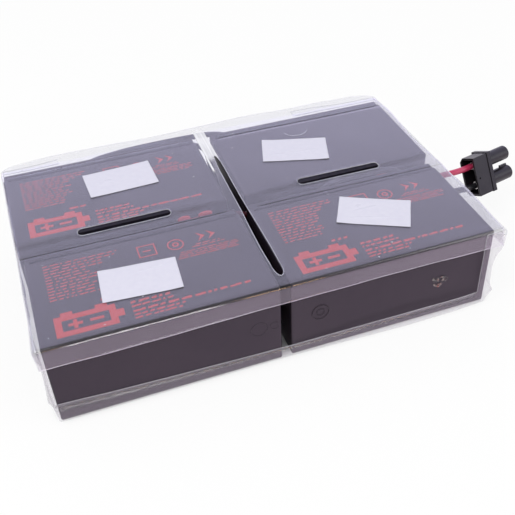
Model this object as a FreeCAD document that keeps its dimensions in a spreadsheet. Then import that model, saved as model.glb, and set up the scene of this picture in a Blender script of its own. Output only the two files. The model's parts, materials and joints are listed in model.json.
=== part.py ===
import FreeCAD, Part
import math
import os
import re
import Sketcher
from FreeCAD import Placement, Rotation, Vector

# Battery cartridge of an uninterruptible power supply: four sealed lead-acid batteries lie on their
# broad faces in a two by two grid, wired in series and wrapped in a folded tray and cover of clear
# sheet. Millimetres. Origin: middle of the grid, on the underside of the tray. +Z up, +Y towards
# the terminal side of every battery, +X towards the end where the output leads come out.

doc = FreeCAD.newDocument("battery_cartridge")
sheet = doc.addObject("Spreadsheet::Sheet", "Sizes")

driving = [
    ("case_length", 151, "battery, long way"),
    ("case_thickness", 65, "battery, between its broad faces"),
    ("case_height", 94, "battery, from its base to the top of its lid"),
    ("case_wall", 2.5, "outer wall of the container"),
    ("case_radius", 1.6, "rounding of the container's edges"),
    ("cell_count", 6, "two-volt cells in a battery"),
    ("cell_wall", 1.6, "partition between cells"),
    ("lid_height", 9, "lid, above the container's rim"),
    ("lid_inset", 0.7, "step from the container in to the lid"),
    ("lid_radius", 1.8, "rounding of the lid's upper edge"),
    ("duct_depth", 3, "duct under the lid for the busbar"),
    ("duct_width", 9, "width of that duct"),
    ("cover_length", 124, "valve cover strip"),
    ("cover_width", 20, "valve cover strip"),
    ("cover_gauge", 1.8, "valve cover strip"),
    ("cover_offset", 9, "valve cover, from the middle towards the plain face"),
    ("well_dia", 10.4, "well round a valve"),
    ("valve_dia", 9.6, "rubber valve cap"),
    ("valve_height", 3.8, "rubber valve cap"),
    ("small_gap", 0.3, "clearance round loose-fitting pieces"),
    ("terminal_inset", 33, "terminal, in from the end of the case"),
    ("terminal_depth", 9.5, "terminal, in from the printed face"),
    ("pocket_length", 15, "terminal pocket"),
    ("pocket_width", 12, "terminal pocket"),
    ("pocket_depth", 3.5, "terminal pocket"),
    ("tab_width", 6.35, "blade of a terminal"),
    ("tab_gauge", 0.8, "blade of a terminal"),
    ("tab_rise", 6, "blade, above the lid"),
    ("tab_hole", 1.8, "hole in the blade"),
    ("post_dia", 5, "post under the blade"),
    ("bar_gauge", 2.4, "busbar from the post to the end cell"),
    ("head_room", 12.5, "from the top of the plates to the container's rim"),
    ("plate_margin", 0.4, "plates to the cell's walls"),
    ("plate_count", 9, "plates in a cell"),
    ("comb_depth", 4, "plates stand this far above their separators"),
    ("comb_slot", 1.1, "separator between two plates"),
    ("strap_width", 6, "strap that joins the plates of one sign"),
    ("strap_height", 5, "strap that joins the plates of one sign"),
    ("front_pair_gap", 7, "between the two front batteries"),
    ("rear_pair_gap", 13, "between the two rear batteries"),
    ("left_column_gap", 11.2, "from the front to the rear battery, left"),
    ("right_column_gap", 10.4, "from the front to the rear battery, right"),
    ("film_gauge", 0.5, "clear sheet"),
    ("film_play", 0.15, "between the cover's flaps and the tray"),
    ("fold_radius", 1.2, "outside of a fold in the sheet"),
    ("left_room", 0.9, "outside of the tray's left end wall, past the rear battery"),
    ("right_room_rear", 2.5, "outside of the right end wall at the rear, past the rear battery"),
    ("right_room_front", 5.5, "outside of the right end wall at the front, past the rear battery"),
    ("front_room", 0.8, "outside of the tray's front, past the front batteries"),
    ("end_wall_run", 11.4, "end walls run back this far past the rear lids"),
    ("shoulder_run", 25.9, "rear of the tray where its bow begins, past the rear lids"),
    ("bow_run", 31.9, "rear of the tray at the middle of its bow, past the rear lids"),
    ("shoulder_left", 23.5, "bow begins this far in from the rear battery's left end"),
    ("shoulder_right", 45.5, "bow ends this far in from the rear battery's right end"),
    ("wall_drop", 0.4, "tray walls stop this far under the cover"),
    ("cover_flap", 19, "flap of the cover, over its fold"),
    ("tray_flap_left", 15, "front flap of the tray, at its left end"),
    ("tray_flap", 9, "front flap of the tray, from the middle to the right"),
    ("left_corner_tab", 7.5, "strip of the left end wall turned round the front corner"),
    ("right_corner_tab", 15.5, "strip of the right end wall turned round the front corner"),
    ("top_tab_width", 8, "strip of the end wall turned in under the cover"),
    ("left_tab_length", 42, "left strip under the cover"),
    ("right_tab_length", 77, "right strip under the cover"),
    ("slot_width", 8, "side slots of the cover"),
    ("side_slot_length", 67, "side slots of the cover"),
    ("side_slot_shift", 4.8, "middle of a side slot, towards the rear"),
    ("long_slot_length", 150, "middle slot of the cover"),
    ("long_slot_width", 9.5, "middle slot of the cover"),
    ("long_slot_middle", -17, "middle of that slot, along Y"),
    ("red_exit_height", 43.8, "red output lead at the right end wall"),
    ("black_exit_height", 30, "black output lead at the right end wall"),
    ("exit_spread", 3.2, "between those two leads, along Y"),
    ("window_play", 0.35, "opening for the leads in the end wall, round them"),
    ("label_length", 51.5, "blank label"),
    ("label_width", 31.5, "blank label"),
    ("label_gauge", 0.2, "blank label"),
    ("clip_length", 7.9, "flag receptacle, along the blade's width"),
    ("clip_height", 6.2, "flag receptacle, along the blade"),
    ("clip_gauge", 2.6, "flag receptacle, through its rolled sides"),
    ("clip_lift", 0.5, "receptacle above the lid"),
    ("clip_mouth", 4.6, "gap between the rolled sides"),
    ("blade_play", 0.05, "blade in the receptacle, each side"),
    ("barrel_height", 2.9, "middle of the crimp barrel above the lid"),
    ("barrel_reach", 13, "end of the crimp barrel from the blade's middle"),
    ("barrel_dia", 4.2, "crimp barrel"),
    ("core_dia", 3, "bare strands of a lead"),
    ("core_bare", 2.5, "strands seen between barrel and insulation"),
    ("core_grip", 5, "strands inside the barrel"),
    ("lead_in", 8, "a lead stays in line with its barrel this far"),
    ("exit_run", 11, "output leads cross the end wall square this far each way"),
    ("tail_run", 12, "a free lead enters the connector in line this far"),
    ("boot_wall", 0.9, "insulating boot"),
    ("boot_reach", 9.4, "boot, from the blade's middle over the barrel"),
    ("output_dia", 4.9, "output lead over its insulation"),
    ("jumper_dia", 4.4, "jumper over its insulation"),
    ("lead_exit", 1, "free lead begins this far inside the end wall"),
    ("plug_reach", 54.4, "mating face of the connector, past the right end wall at the rear"),
    ("plug_height", 37.3, "middle of that mating face"),
    ("plug_shift", 3.1, "middle of that mating face, towards the rear"),
    ("housing_width", 32, "connector, across both poles"),
    ("housing_thickness", 16.6, "connector, the thin way"),
    ("housing_length", 18, "connector body"),
    ("housing_wall", 1.8, "wall round the connector's rear cavity"),
    ("cavity_depth", 12.5, "rear cavity of the connector"),
    ("housing_chamfer", 3.6, "keyed corners on the connector's far side"),
    ("collar_length", 3.6, "collar at the nose of the connector body"),
    ("collar_rise", 0.6, "collar over the body"),
    ("pole_pitch", 16.4, "between the connector's poles"),
    ("nose_dia", 11.6, "round nose of a pole"),
    ("nose_length", 23.5, "round nose of a pole"),
    ("nose_bore", 7.6, "bore of a nose"),
    ("nose_rounding", 1.6, "rounding of a nose's end"),
    ("key_width", 1.8, "key rib on the lower nose"),
    ("key_length", 7, "key rib on the lower nose"),
    ("key_rise", 1.5, "key rib on the lower nose"),
    ("peep_dia", 1.6, "latch hole in the broad face"),
    ("socket_dia", 5.4, "contact socket in a nose"),
    ("socket_bore", 3.6, "bore of the contact socket"),
    ("socket_set_back", 3, "contact behind the tip of its nose"),
    ("crimp_dia", 6.4, "contact's crimp in the cavity"),
    ("crimp_length", 8.5, "contact's crimp in the cavity"),
    ("slit_length", 8, "slit that lets the socket spring"),
]
for row, (alias, value, note) in enumerate(driving, 1):
    sheet.set(f"A{row}", note)
    sheet.set(f"B{row}", str(value))
    sheet.setAlias(f"B{row}", alias)
doc.recompute()

parts = []  # the sub-parts, in the order they are made


def size(alias):
    return float(getattr(sheet, alias))


def formula(text):
    """Writes the sheet's name before each alias."""
    return re.sub(r"[a-z][a-z_]+", lambda word: "Sizes." + word.group(), text)


def bind(thing, **formulas):
    for prop, text in formulas.items():
        thing.setExpression(prop.replace("__", "."), formula(text))
    return thing


def sub_part(thing, label, place):
    thing.Label = label
    thing.Placement = place
    parts.append(thing)
    return thing


# ---- primitives and booleans whose sizes are formulas over the sheet

def loose_block(name, length, width, height):
    return bind(doc.addObject("Part::Box", name), Length=length, Width=width, Height=height)


def loose_rod(name, diameter, length):
    return bind(doc.addObject("Part::Cylinder", name), Radius=f"({diameter}) / 2", Height=length)


def block(name, length, width, height, x, y, z):
    """Box from its middle in x and y and its lowest z."""
    return bind(loose_block(name, length, width, height), Placement__Base__x=f"{x} - ({length}) / 2",
                Placement__Base__y=f"{y} - ({width}) / 2", Placement__Base__z=z)


def rod(name, diameter, length, x, y, z, turn=None):
    """Cylinder from the middle of its first end, along Z or turned."""
    thing = loose_rod(name, diameter, length)
    if turn:
        thing.Placement = Placement(Vector(), turn)
    return bind(thing, Placement__Base__x=x, Placement__Base__y=y, Placement__Base__z=z)


def united(name, pieces):
    thing = doc.addObject("Part::MultiFuse", name)
    thing.Shapes = pieces
    thing.Refine = True
    return thing


def less(name, base, tools):
    thing = doc.addObject("Part::Cut", name)
    thing.Base = base
    thing.Tool = tools[0] if len(tools) == 1 else united(name + "_tools", tools)
    return thing


along_x = Rotation(Vector(0, 1, 0), 90)
along_y = Rotation(Vector(1, 0, 0), -90)


# ---- part design: bodies with sketches and features

def body_sketch(body, name, lift):
    """Sketch parallel to the body's XY plane, lifted by a formula."""
    sketch = body.newObject("Sketcher::SketchObject", name)
    floor = next(f for f in body.Origin.OriginFeatures if f.Role == "XY_Plane")
    sketch.AttachmentSupport = [(floor, "")]
    sketch.MapMode = "FlatFace"
    return bind(sketch, AttachmentOffset__Base__z=lift)


def rectangle(sketch, tag, length, width, x, y):
    """Adds a rectangle with its middle at x and y; the four sizes are formulas."""
    first = sketch.GeometryCount
    corners = [Vector(-1, -1, 0), Vector(1, -1, 0), Vector(1, 1, 0), Vector(-1, 1, 0)]
    for start, end in zip(corners, corners[1:] + corners[:1]):
        sketch.addGeometry(Part.LineSegment(start, end), False)
    for side in range(4):
        sketch.addConstraint(Sketcher.Constraint("Coincident", first + side, 2, first + (side + 1) % 4, 1))
        turn = "Horizontal" if side % 2 == 0 else "Vertical"
        sketch.addConstraint(Sketcher.Constraint(turn, first + side))
    rules = [("left", "DistanceX", f"{x} - ({length}) / 2"), ("front", "DistanceY", f"{y} - ({width}) / 2"),
             ("right", "DistanceX", f"{x} + ({length}) / 2"), ("rear", "DistanceY", f"{y} + ({width}) / 2")]
    for rule, (word, kind, text) in enumerate(rules):
        corner = first if rule < 2 else first + 2
        start_value = -1 if rule < 2 else 1
        number = sketch.addConstraint(Sketcher.Constraint(kind, -1, 1, corner, 1, start_value))
        sketch.renameConstraint(number, f"{tag}_{word}")
        bind(sketch, **{f"Constraints__{tag}_{word}": text})


def circle(sketch, tag, diameter, x, y):
    """Adds a circle; its size and its middle are formulas."""
    number = sketch.addGeometry(Part.Circle(Vector(1, 1, 0), Vector(0, 0, 1), 1), False)
    for word, rule, text in (("across", Sketcher.Constraint("Diameter", number, 2), diameter),
                             ("along", Sketcher.Constraint("DistanceX", -1, 1, number, 3, 1), x),
                             ("over", Sketcher.Constraint("DistanceY", -1, 1, number, 3, 1), y)):
        place = sketch.addConstraint(rule)
        sketch.renameConstraint(place, f"{tag}_{word}")
        bind(sketch, **{f"Constraints__{tag}_{word}": text})


def pad(body, sketch, height):
    thing = body.newObject("PartDesign::Pad", sketch.Name + "_pad")
    thing.Profile = sketch
    bind(thing, Length=height)
    body.Tip = thing
    return thing


def pocket(body, sketch, depth):
    """Cuts downwards from the sketch."""
    thing = body.newObject("PartDesign::Pocket", sketch.Name + "_pocket")
    thing.Profile = sketch
    bind(thing, Length=depth)
    body.Tip = thing
    return thing


def repeated(body, feature, pitch):
    """Repeats a feature once for each cell, along X."""
    thing = body.newObject("PartDesign::LinearPattern", feature.Name + "_row")
    thing.Originals = [feature]
    thing.Direction = (feature.Profile[0], ["H_Axis"])
    bind(thing, Length=f"({pitch}) * (cell_count - 1)", Occurrences="cell_count")
    body.Tip = thing
    return thing


def dressed(body, kind, chosen, **amount):
    """Fillet or Chamfer on the edges of the body's tip that chosen accepts."""
    doc.recompute()
    tip = body.Tip
    names = [f"Edge{n}" for n, edge in enumerate(tip.Shape.Edges, 1) if chosen(edge)]
    thing = body.newObject("PartDesign::" + kind, tip.Name + "_" + kind.lower())
    thing.Base = (tip, names)
    body.Tip = thing
    return bind(thing, **amount)


def upright(edge):
    ends = [vertex.Point for vertex in edge.Vertexes]
    return len(ends) == 2 and (ends[0] - ends[1]).cross(Vector(0, 0, 1)).Length < 1e-6


def at_height(edge, height):
    return all(abs(vertex.Z - height) < 1e-6 for vertex in edge.Vertexes)


# ---- one battery, upright: X along its length, printed face to -Y, base at Z 0

cell_pitch = "((case_length - 2 * case_wall + cell_wall) / cell_count)"
cell_length = f"({cell_pitch} - cell_wall)"
cell_width = "(case_thickness - 2 * case_wall)"
first_cell = f"(case_wall + {cell_length} / 2 - case_length / 2)"
container_height = "(case_height - lid_height)"
terminal_y = "(terminal_depth - case_thickness / 2)"
pocket_floor = "(case_height - pocket_depth)"
recess_floor = "(case_height - cover_gauge)"


def container(name):
    """Moulded box, open at the top, with a partition between every two cells."""
    body = doc.addObject("PartDesign::Body", name)
    outline = body_sketch(body, name + "_outline", "0")
    rectangle(outline, "case", "case_length", "case_thickness", "0", "0")
    pad(body, outline, container_height)
    dressed(body, "Fillet", lambda edge: upright(edge) or at_height(edge, 0), Radius="case_radius")
    cell = body_sketch(body, name + "_cell", container_height)
    rectangle(cell, "cell", cell_length, cell_width, first_cell, "0")
    repeated(body, pocket(body, cell, f"{container_height} - case_wall"), cell_pitch)
    return body


def lid(name):
    """Moulded lid: terminal pockets, a recess for the valve cover, valve wells and two ducts below."""
    body = doc.addObject("PartDesign::Body", name)
    outline = body_sketch(body, name + "_outline", container_height)
    rectangle(outline, "lid", "case_length - 2 * lid_inset", "case_thickness - 2 * lid_inset", "0", "0")
    pad(body, outline, "lid_height")
    dressed(body, "Fillet", lambda edge: upright(edge) or at_height(edge, size("case_height")),
            Radius="lid_radius")
    pockets = body_sketch(body, name + "_pockets", "case_height")
    holes = body_sketch(body, name + "_holes", pocket_floor)
    ducts = body_sketch(body, name + "_ducts", f"{container_height} + duct_depth")
    for tag, sign in (("left", "-1"), ("right", "1")):
        x = f"{sign} * (case_length / 2 - terminal_inset)"
        rectangle(pockets, tag, "pocket_length", "pocket_width", x, terminal_y)
        circle(holes, tag, "post_dia + small_gap", x, terminal_y)
        end_cell = f"(case_length / 2 - case_wall - {cell_length} / 2)"
        duct_middle = f"{sign} * (case_length / 2 - terminal_inset + {end_cell}) / 2"
        duct_length = f"({end_cell} - case_length / 2 + terminal_inset + duct_width)"
        rectangle(ducts, tag, duct_length, "duct_width", duct_middle, terminal_y)
    pocket(body, pockets, "pocket_depth")
    pocket(body, holes, "lid_height - pocket_depth")
    pocket(body, ducts, "duct_depth")
    recess = body_sketch(body, name + "_recess", "case_height")
    rectangle(recess, "recess", "cover_length + 2 * small_gap", "cover_width + 2 * small_gap", "0",
              "cover_offset")
    pocket(body, recess, "cover_gauge")
    well = body_sketch(body, name + "_well", recess_floor)
    circle(well, "well", "well_dia", first_cell, "cover_offset")
    repeated(body, pocket(body, well, "valve_height + small_gap"), cell_pitch)
    return body


def valve_cover(name):
    """Flush strip with a pry notch at each end, welded over the valves."""
    strip = block(name + "_strip", "cover_length", "cover_width", "cover_gauge", "0", "cover_offset",
                  recess_floor)
    notches = [block(f"{name}_notch_{tag}", "cover_gauge * 2", "cover_width / 3", "cover_gauge / 2",
                     f"{sign} * cover_length / 2", "cover_offset", "case_height - cover_gauge / 2")
               for tag, sign in (("left", "-1"), ("right", "1"))]
    return less(name, strip, notches)


def valve_caps(name):
    """One rubber cap in the well of each cell, as a group."""
    caps = doc.addObject("Part::Compound", name)
    caps.Links = [rod(f"{name}_{cell}", "valve_dia", "valve_height", f"{first_cell} + {cell} * {cell_pitch}",
                      "cover_offset", f"{recess_floor} - valve_height - small_gap")
                  for cell in range(int(size("cell_count")))]
    return caps


def plate_groups(name):
    """Plates and separators of each cell, with a cast strap over the plates of either sign."""
    wall, margin = size("case_wall"), size("plate_margin")
    pitch = (size("case_length") - 2 * wall + size("cell_wall")) / size("cell_count")
    length = pitch - size("cell_wall") - 2 * margin
    width = size("case_thickness") - 2 * wall - 2 * margin
    plates, slot = int(size("plate_count")), size("comb_slot")
    plate_pitch = (length + slot) / plates
    top = size("case_height") - size("lid_height") - size("head_room")
    group = Part.makeBox(length, width, top - wall, Vector(-length / 2, -width / 2, wall))
    for number in range(1, plates):
        x = -length / 2 + number * plate_pitch - slot
        corner = Vector(x, -width / 2, top - size("comb_depth"))
        group = group.cut(Part.makeBox(slot, width, size("comb_depth"), corner))
    strap_y = size("case_thickness") / 2 - size("terminal_depth")
    for side in (-1, 1):
        corner = Vector(-length / 2, side * strap_y - size("strap_width") / 2, top)
        group = group.fuse(Part.makeBox(length, size("strap_width"), size("strap_height"), corner))
    group = group.removeSplitter()
    start = wall + length / 2 + margin - size("case_length") / 2
    cells = []
    for cell in range(int(size("cell_count"))):
        copy = group.copy()
        copy.translate(Vector(start + cell * pitch, 0, 0))
        cells.append(copy)
    thing = doc.addObject("Part::Feature", name)
    thing.Shape = Part.makeCompound(cells)
    return thing


def terminal(name, sign):
    """Blade, foot and post in one, with the busbar that runs to the strap of the end cell."""
    x = f"{sign} * (case_length / 2 - terminal_inset)"
    end_cell = f"(case_length / 2 - case_wall - {cell_length} / 2)"
    blade = block(name + "_blade", "tab_width", "tab_gauge", "pocket_depth + tab_rise", x, terminal_y,
                  pocket_floor)
    foot = block(name + "_foot", "tab_width + 2", "post_dia + 2", "tab_gauge", x, terminal_y, pocket_floor)
    post = rod(name + "_post", "post_dia", "lid_height - pocket_depth", x, terminal_y, container_height)
    bar_length = f"({end_cell} - case_length / 2 + terminal_inset + post_dia)"
    bar_middle = f"{sign} * (case_length / 2 - terminal_inset + {end_cell}) / 2"
    bar = block(name + "_bar", bar_length, "post_dia", "bar_gauge", bar_middle, terminal_y,
                container_height)
    stub = rod(name + "_stub", "post_dia", "head_room - strap_height", f"{sign} * {end_cell}",
               terminal_y, f"{container_height} - head_room + strap_height")
    whole = united(name + "_whole", [blade, foot, post, bar, stub])
    hole = rod(name + "_hole", "tab_hole", "tab_gauge * 4", x, f"{terminal_y} - 2 * tab_gauge",
               "case_height + tab_rise / 2", along_y)
    return less(name, whole, [hole])


# ---- a flag receptacle: blade up the Z axis from the lid at Z 0, crimp barrel to +X

def receptacle(name):
    """Sheet-brass clip with rolled sides on the blade, and a barrel crimped on the strands."""
    clip = block(name + "_clip", "clip_length", "clip_gauge", "clip_height", "0", "0", "clip_lift")
    barrel = rod(name + "_barrel", "barrel_dia", "barrel_reach - clip_length / 4", "clip_length / 4", "0",
                 "barrel_height", along_x)
    channel = block(name + "_channel", "tab_width + 2 * blade_play", "tab_gauge + 2 * blade_play",
                    "clip_height", "0", "0", "clip_lift")
    mouth = block(name + "_mouth", "clip_mouth", "clip_gauge", "clip_height", "0", "-clip_gauge / 2",
                  "clip_lift")
    bore = rod(name + "_bore", "core_dia", "core_grip", "barrel_reach - core_grip", "0", "barrel_height",
               along_x)
    return less(name, united(name + "_whole", [clip, barrel]), [channel, mouth, bore])


def boot(name):
    """Soft sleeve over the clip and the root of its barrel, open at its foot and round the barrel."""
    rise = "clip_lift + clip_height + boot_wall"
    middle = "(boot_reach - clip_length / 2 - boot_wall) / 2"
    span = "boot_reach + clip_length / 2 + boot_wall"
    shell = block(name + "_shell", span, "barrel_dia + 2 * boot_wall", rise, middle, "0", "0")
    soft = doc.addObject("Part::Fillet", name + "_soft")
    soft.Base = shell
    doc.recompute()
    top = size("clip_lift") + size("clip_height") + size("boot_wall")
    soft.Edges = [(n, size("boot_wall"), size("boot_wall")) for n, edge in enumerate(shell.Shape.Edges, 1)
                  if upright(edge) or at_height(edge, top)]
    room = block(name + "_room", "clip_length", "barrel_dia", "clip_lift + clip_height", "0", "0", "0")
    sleeve = rod(name + "_sleeve", "barrel_dia", "boot_reach", "0", "0", "barrel_height", along_x)
    return less(name, soft, [room, sleeve])


# ---- the clear wrapping

block_end = size("rear_pair_gap") / 2 + size("case_length")
block_rear = size("left_column_gap") / 2 + size("case_height")
left_wall = block_end + size("left_room")
right_wall_rear = block_end + size("right_room_rear")
right_wall_front = block_end + size("right_room_front")
front_wall = block_rear + size("front_room")


def wrap_outline(out):
    """Closed outline of the tray moved outwards: straight front and ends, bevelled rear corners
    and a rear that bows out round the terminals."""
    left_x, right_x = size("shoulder_left") - block_end, block_end - size("shoulder_right")
    shoulder = block_rear + size("shoulder_run") + out
    side_rear = block_rear + size("end_wall_run") + out / 2
    left_front = Vector(-left_wall - out, -front_wall - out, 0)
    right_front = Vector(right_wall_front + out, -front_wall - out, 0)
    right_rear = Vector(right_wall_rear + out, side_rear, 0)
    left_rear = Vector(-left_wall - out, side_rear, 0)
    bow_right, bow_left = Vector(right_x, shoulder, 0), Vector(left_x, shoulder, 0)
    bow_middle = Vector((right_x + left_x) / 2, block_rear + size("bow_run") + out, 0)
    edges = [Part.LineSegment(left_front, right_front), Part.LineSegment(right_front, right_rear),
             Part.LineSegment(right_rear, bow_right), Part.Arc(bow_right, bow_middle, bow_left),
             Part.LineSegment(bow_left, left_rear), Part.LineSegment(left_rear, left_front)]
    return Part.Wire([edge.toShape() for edge in edges])


def folded_box(out, height, radius, top_closed):
    """Sheet folded into a shallow box: outer form with rounded folds less its inside."""
    gauge = size("film_gauge")
    closed_z = height if top_closed else 0
    outer = Part.Face(wrap_outline(out)).extrude(Vector(0, 0, height))
    folds = [edge for edge in outer.Edges if upright(edge) or at_height(edge, closed_z)]
    outer = outer.makeFillet(radius, folds)
    inner = Part.Face(wrap_outline(out - gauge)).extrude(Vector(0, 0, height))
    folds = [edge for edge in inner.Edges if upright(edge) or at_height(edge, closed_z)]
    inner = inner.makeFillet(radius - gauge, folds)
    inner.translate(Vector(0, 0, -gauge if top_closed else gauge))
    return outer.cut(inner)


def stadium(length, width, x, y, z, height):
    """Slot with round ends along X."""
    reach = length / 2 - width / 2
    bar = Part.makeBox(2 * reach, width, height, Vector(x - reach, y - width / 2, z))
    for side in (-1, 1):
        bar = bar.fuse(Part.makeCylinder(width / 2, height, Vector(x + side * reach, y, z)))
    return bar.removeSplitter()


def pointed_slot(length, width, y, z, height):
    """Slot along Y whose ends are cut to a blunt point."""
    half, tip, nose = width / 2, width / 6, width / 2
    start, end = y - length / 2, y + length / 2
    outline = [(-tip, start), (tip, start), (half, start + nose), (half, end - nose),
               (tip, end), (-tip, end), (-half, end - nose), (-half, start + nose)]
    points = [Vector(x, along, z) for x, along in outline]
    return Part.Face(Part.makePolygon(points + points[:1])).extrude(Vector(0, 0, height))


battery_floor = size("film_gauge")
battery_top = battery_floor + size("case_thickness")
cover_top = battery_top + size("film_gauge")


def tray():
    """Lower sheet: floor, end and rear walls, a low front flap that rises to the left, strips
    turned round the front corners, strips turned in under the cover, and a window for the leads."""
    gauge = size("film_gauge")
    height = battery_top - size("wall_drop")
    shape = folded_box(0, height, size("fold_radius"), False)
    left, right = -left_wall + size("left_corner_tab"), right_wall_front - size("right_corner_tab")
    low, high = size("tray_flap"), size("tray_flap_left")
    rim = [(left, high), (0, low), (right, low), (right, height), (left, height)]
    points = [Vector(x, -front_wall - 2 * gauge, z) for x, z in rim]
    over_flap = Part.Face(Part.makePolygon(points + points[:1]))
    shape = shape.cut(over_flap.extrude(Vector(0, 4 * gauge, 0)))
    around = size("output_dia") + 2 * size("window_play")
    width = size("exit_spread") + around
    rise = size("red_exit_height") - size("black_exit_height") + around
    sill = Vector(right_wall_rear - 2 * gauge, -width / 2, size("black_exit_height") - around / 2)
    shape = shape.cut(Part.makeBox(8 * gauge, width, rise, sill))
    room = Part.Face(wrap_outline(-gauge / 2)).extrude(Vector(0, 0, gauge))
    room.translate(Vector(0, 0, height - gauge))
    for x, length in ((-left_wall, size("left_tab_length")),
                      (right_wall_rear - size("right_tab_length"), size("right_tab_length"))):
        strip = Part.makeBox(length, size("top_tab_width"), gauge,
                             Vector(x, block_rear + size("small_gap"), height - gauge))
        shape = shape.fuse(strip.common(room))
    thing = doc.addObject("Part::Feature", "tray")
    thing.Shape = shape.removeSplitter()
    return thing


def cover():
    """Upper sheet: top with three slots, and a flap folded down all round."""
    gauge = size("film_gauge")
    shape = folded_box(gauge + size("film_play"), size("cover_flap"), size("fold_radius"), True)
    below = size("cover_flap") - 2 * gauge
    battery_middle = (size("rear_pair_gap") + size("case_length")) / 2
    for side in (-1, 1):
        shape = shape.cut(stadium(size("side_slot_length"), size("slot_width"), side * battery_middle,
                                  size("side_slot_shift"), below, 4 * gauge))
    shape = shape.cut(pointed_slot(size("long_slot_length"), size("long_slot_width"),
                                   size("long_slot_middle"), below, 4 * gauge))
    thing = doc.addObject("Part::Feature", "cover")
    thing.Shape = shape
    return thing


# ---- leads: straight runs joined by arcs as large as the runs allow

def bent_path(name, points):
    """Wire through the points' runs, each corner an arc of 0.45 of its shorter run."""
    corners, radii = [], []
    for before, here, after in zip(points, points[1:], points[2:]):
        back, on = before - here, after - here
        reach = 0.45 * min(back.Length, on.Length)
        half_turn = (math.pi - back.getAngle(on)) / 2
        radii.append(reach / math.tan(half_turn))
        start, end = here + back.normalize() * reach, here + on.normalize() * reach
        chord = (start + end) * 0.5
        to_middle = radii[-1] / math.cos(half_turn) - radii[-1]
        corners.append((start, here + (chord - here).normalize() * to_middle, end))
    edges, last = [], points[0]
    for start, middle, end in corners:
        edges.append(Part.LineSegment(last, start).toShape())
        edges.append(Part.Arc(start, middle, end).toShape())
        last = end
    edges.append(Part.LineSegment(last, points[-1]).toShape())
    path = Part.Wire(edges)
    print(name, "radii", [round(radius, 1) for radius in radii], "length", round(path.Length, 1))
    return path


def lead(name, diameter, points):
    """Round insulated lead along the bent path, checked against its section times its length."""
    path = bent_path(name, points)
    ring = Part.Wire(Part.makeCircle(diameter / 2, points[0], points[1] - points[0]))
    shape = path.makePipeShell([ring], True, False)
    expected = math.pi * diameter ** 2 / 4 * path.Length
    if abs(shape.Volume / expected - 1) > 0.01:
        raise ValueError(f"{name}: volume {shape.Volume:.1f} is not {expected:.1f}")
    thing = doc.addObject("Part::Feature", name)
    thing.Shape = shape
    return sub_part(thing, name, Placement())


# ---- the connector: noses up the Z axis from Z 0, the upper pole towards +Y, keyed side to +X

def connector_housing():
    """Moulded two-pole housing: body with keyed corners and a rear cavity, a collar, and two round
    noses of which the lower has a key rib."""
    body = doc.addObject("PartDesign::Body", "connector_housing_body")
    outline = body_sketch(body, "housing_outline", "-housing_length")
    rectangle(outline, "body", "housing_thickness", "housing_width", "0", "0")
    pad(body, outline, "housing_length")
    dressed(body, "Chamfer", lambda edge: upright(edge) and edge.Vertexes[0].X > 0, Size="housing_chamfer")
    collar = body_sketch(body, "housing_collar", "-collar_length")
    rectangle(collar, "collar", "housing_thickness + 2 * collar_rise", "housing_width + 2 * collar_rise",
              "0", "0")
    pad(body, collar, "collar_length")
    dressed(body, "Fillet", lambda edge: upright(edge) and abs(edge.Length - size("collar_length")) < 1e-6,
            Radius="collar_rise")
    noses = body_sketch(body, "housing_noses", "0")
    for tag, sign in (("upper", "1"), ("lower", "-1")):
        circle(noses, tag, "nose_dia", "0", f"{sign} * pole_pitch / 2")
    pad(body, noses, "nose_length")
    dressed(body, "Fillet", lambda edge: at_height(edge, size("nose_length")), Radius="nose_rounding")
    key = body_sketch(body, "housing_key", "nose_length - key_length - nose_rounding")
    rectangle(key, "key", "key_width", "key_rise * 2", "0", "nose_dia / 2 - pole_pitch / 2")
    pad(body, key, "key_length")
    bores = body_sketch(body, "housing_bores", "nose_length")
    passages = body_sketch(body, "housing_passages", "0")
    for tag, sign in (("upper", "1"), ("lower", "-1")):
        circle(bores, tag, "nose_bore", "0", f"{sign} * pole_pitch / 2")
        circle(passages, tag, "socket_dia + small_gap", "0", f"{sign} * pole_pitch / 2")
    pocket(body, bores, "nose_length")
    pocket(body, passages, "housing_length")
    cavity = body_sketch(body, "housing_cavity", "cavity_depth - housing_length")
    rectangle(cavity, "cavity", "housing_thickness - 2 * housing_wall", "housing_width - 2 * housing_wall",
              "0", "0")
    pocket(body, cavity, "cavity_depth")
    peep = rod("housing_peep", "peep_dia", "housing_thickness / 2",
               "-housing_thickness / 2 - housing_wall / 2", "-peep_dia", "-housing_length + 2 * peep_dia",
               along_x)
    return less("housing_pierced", body, [peep])


def contact(name):
    """Turned contact: split socket in the nose, stem through the housing, crimp in the cavity."""
    socket_length = "nose_length - socket_set_back"
    cavity_floor = "cavity_depth - housing_length"
    front = rod(name + "_socket", "socket_dia", f"{socket_length} - ({cavity_floor})", "0", "0",
                cavity_floor)
    crimp = rod(name + "_crimp", "crimp_dia", "crimp_length", "0", "0", cavity_floor + " - crimp_length")
    bore = rod(name + "_bore", "socket_bore", socket_length, "0", "0", "0")
    slit = block(name + "_slit", "socket_dia * 2", "socket_bore / 4", "slit_length", "0", "0",
                 f"{socket_length} - slit_length")
    return less(name, united(name + "_whole", [front, crimp]), [bore, slit])


# ---- the four batteries and what is joined to their terminals

unmoved = Placement()
on_back = Rotation(Vector(1, 0, 0), -90)
turned_over = Rotation(Vector(0, 1, 0), 180) * on_back
half_turn_z = Rotation(Vector(0, 0, 1), 180)


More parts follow.
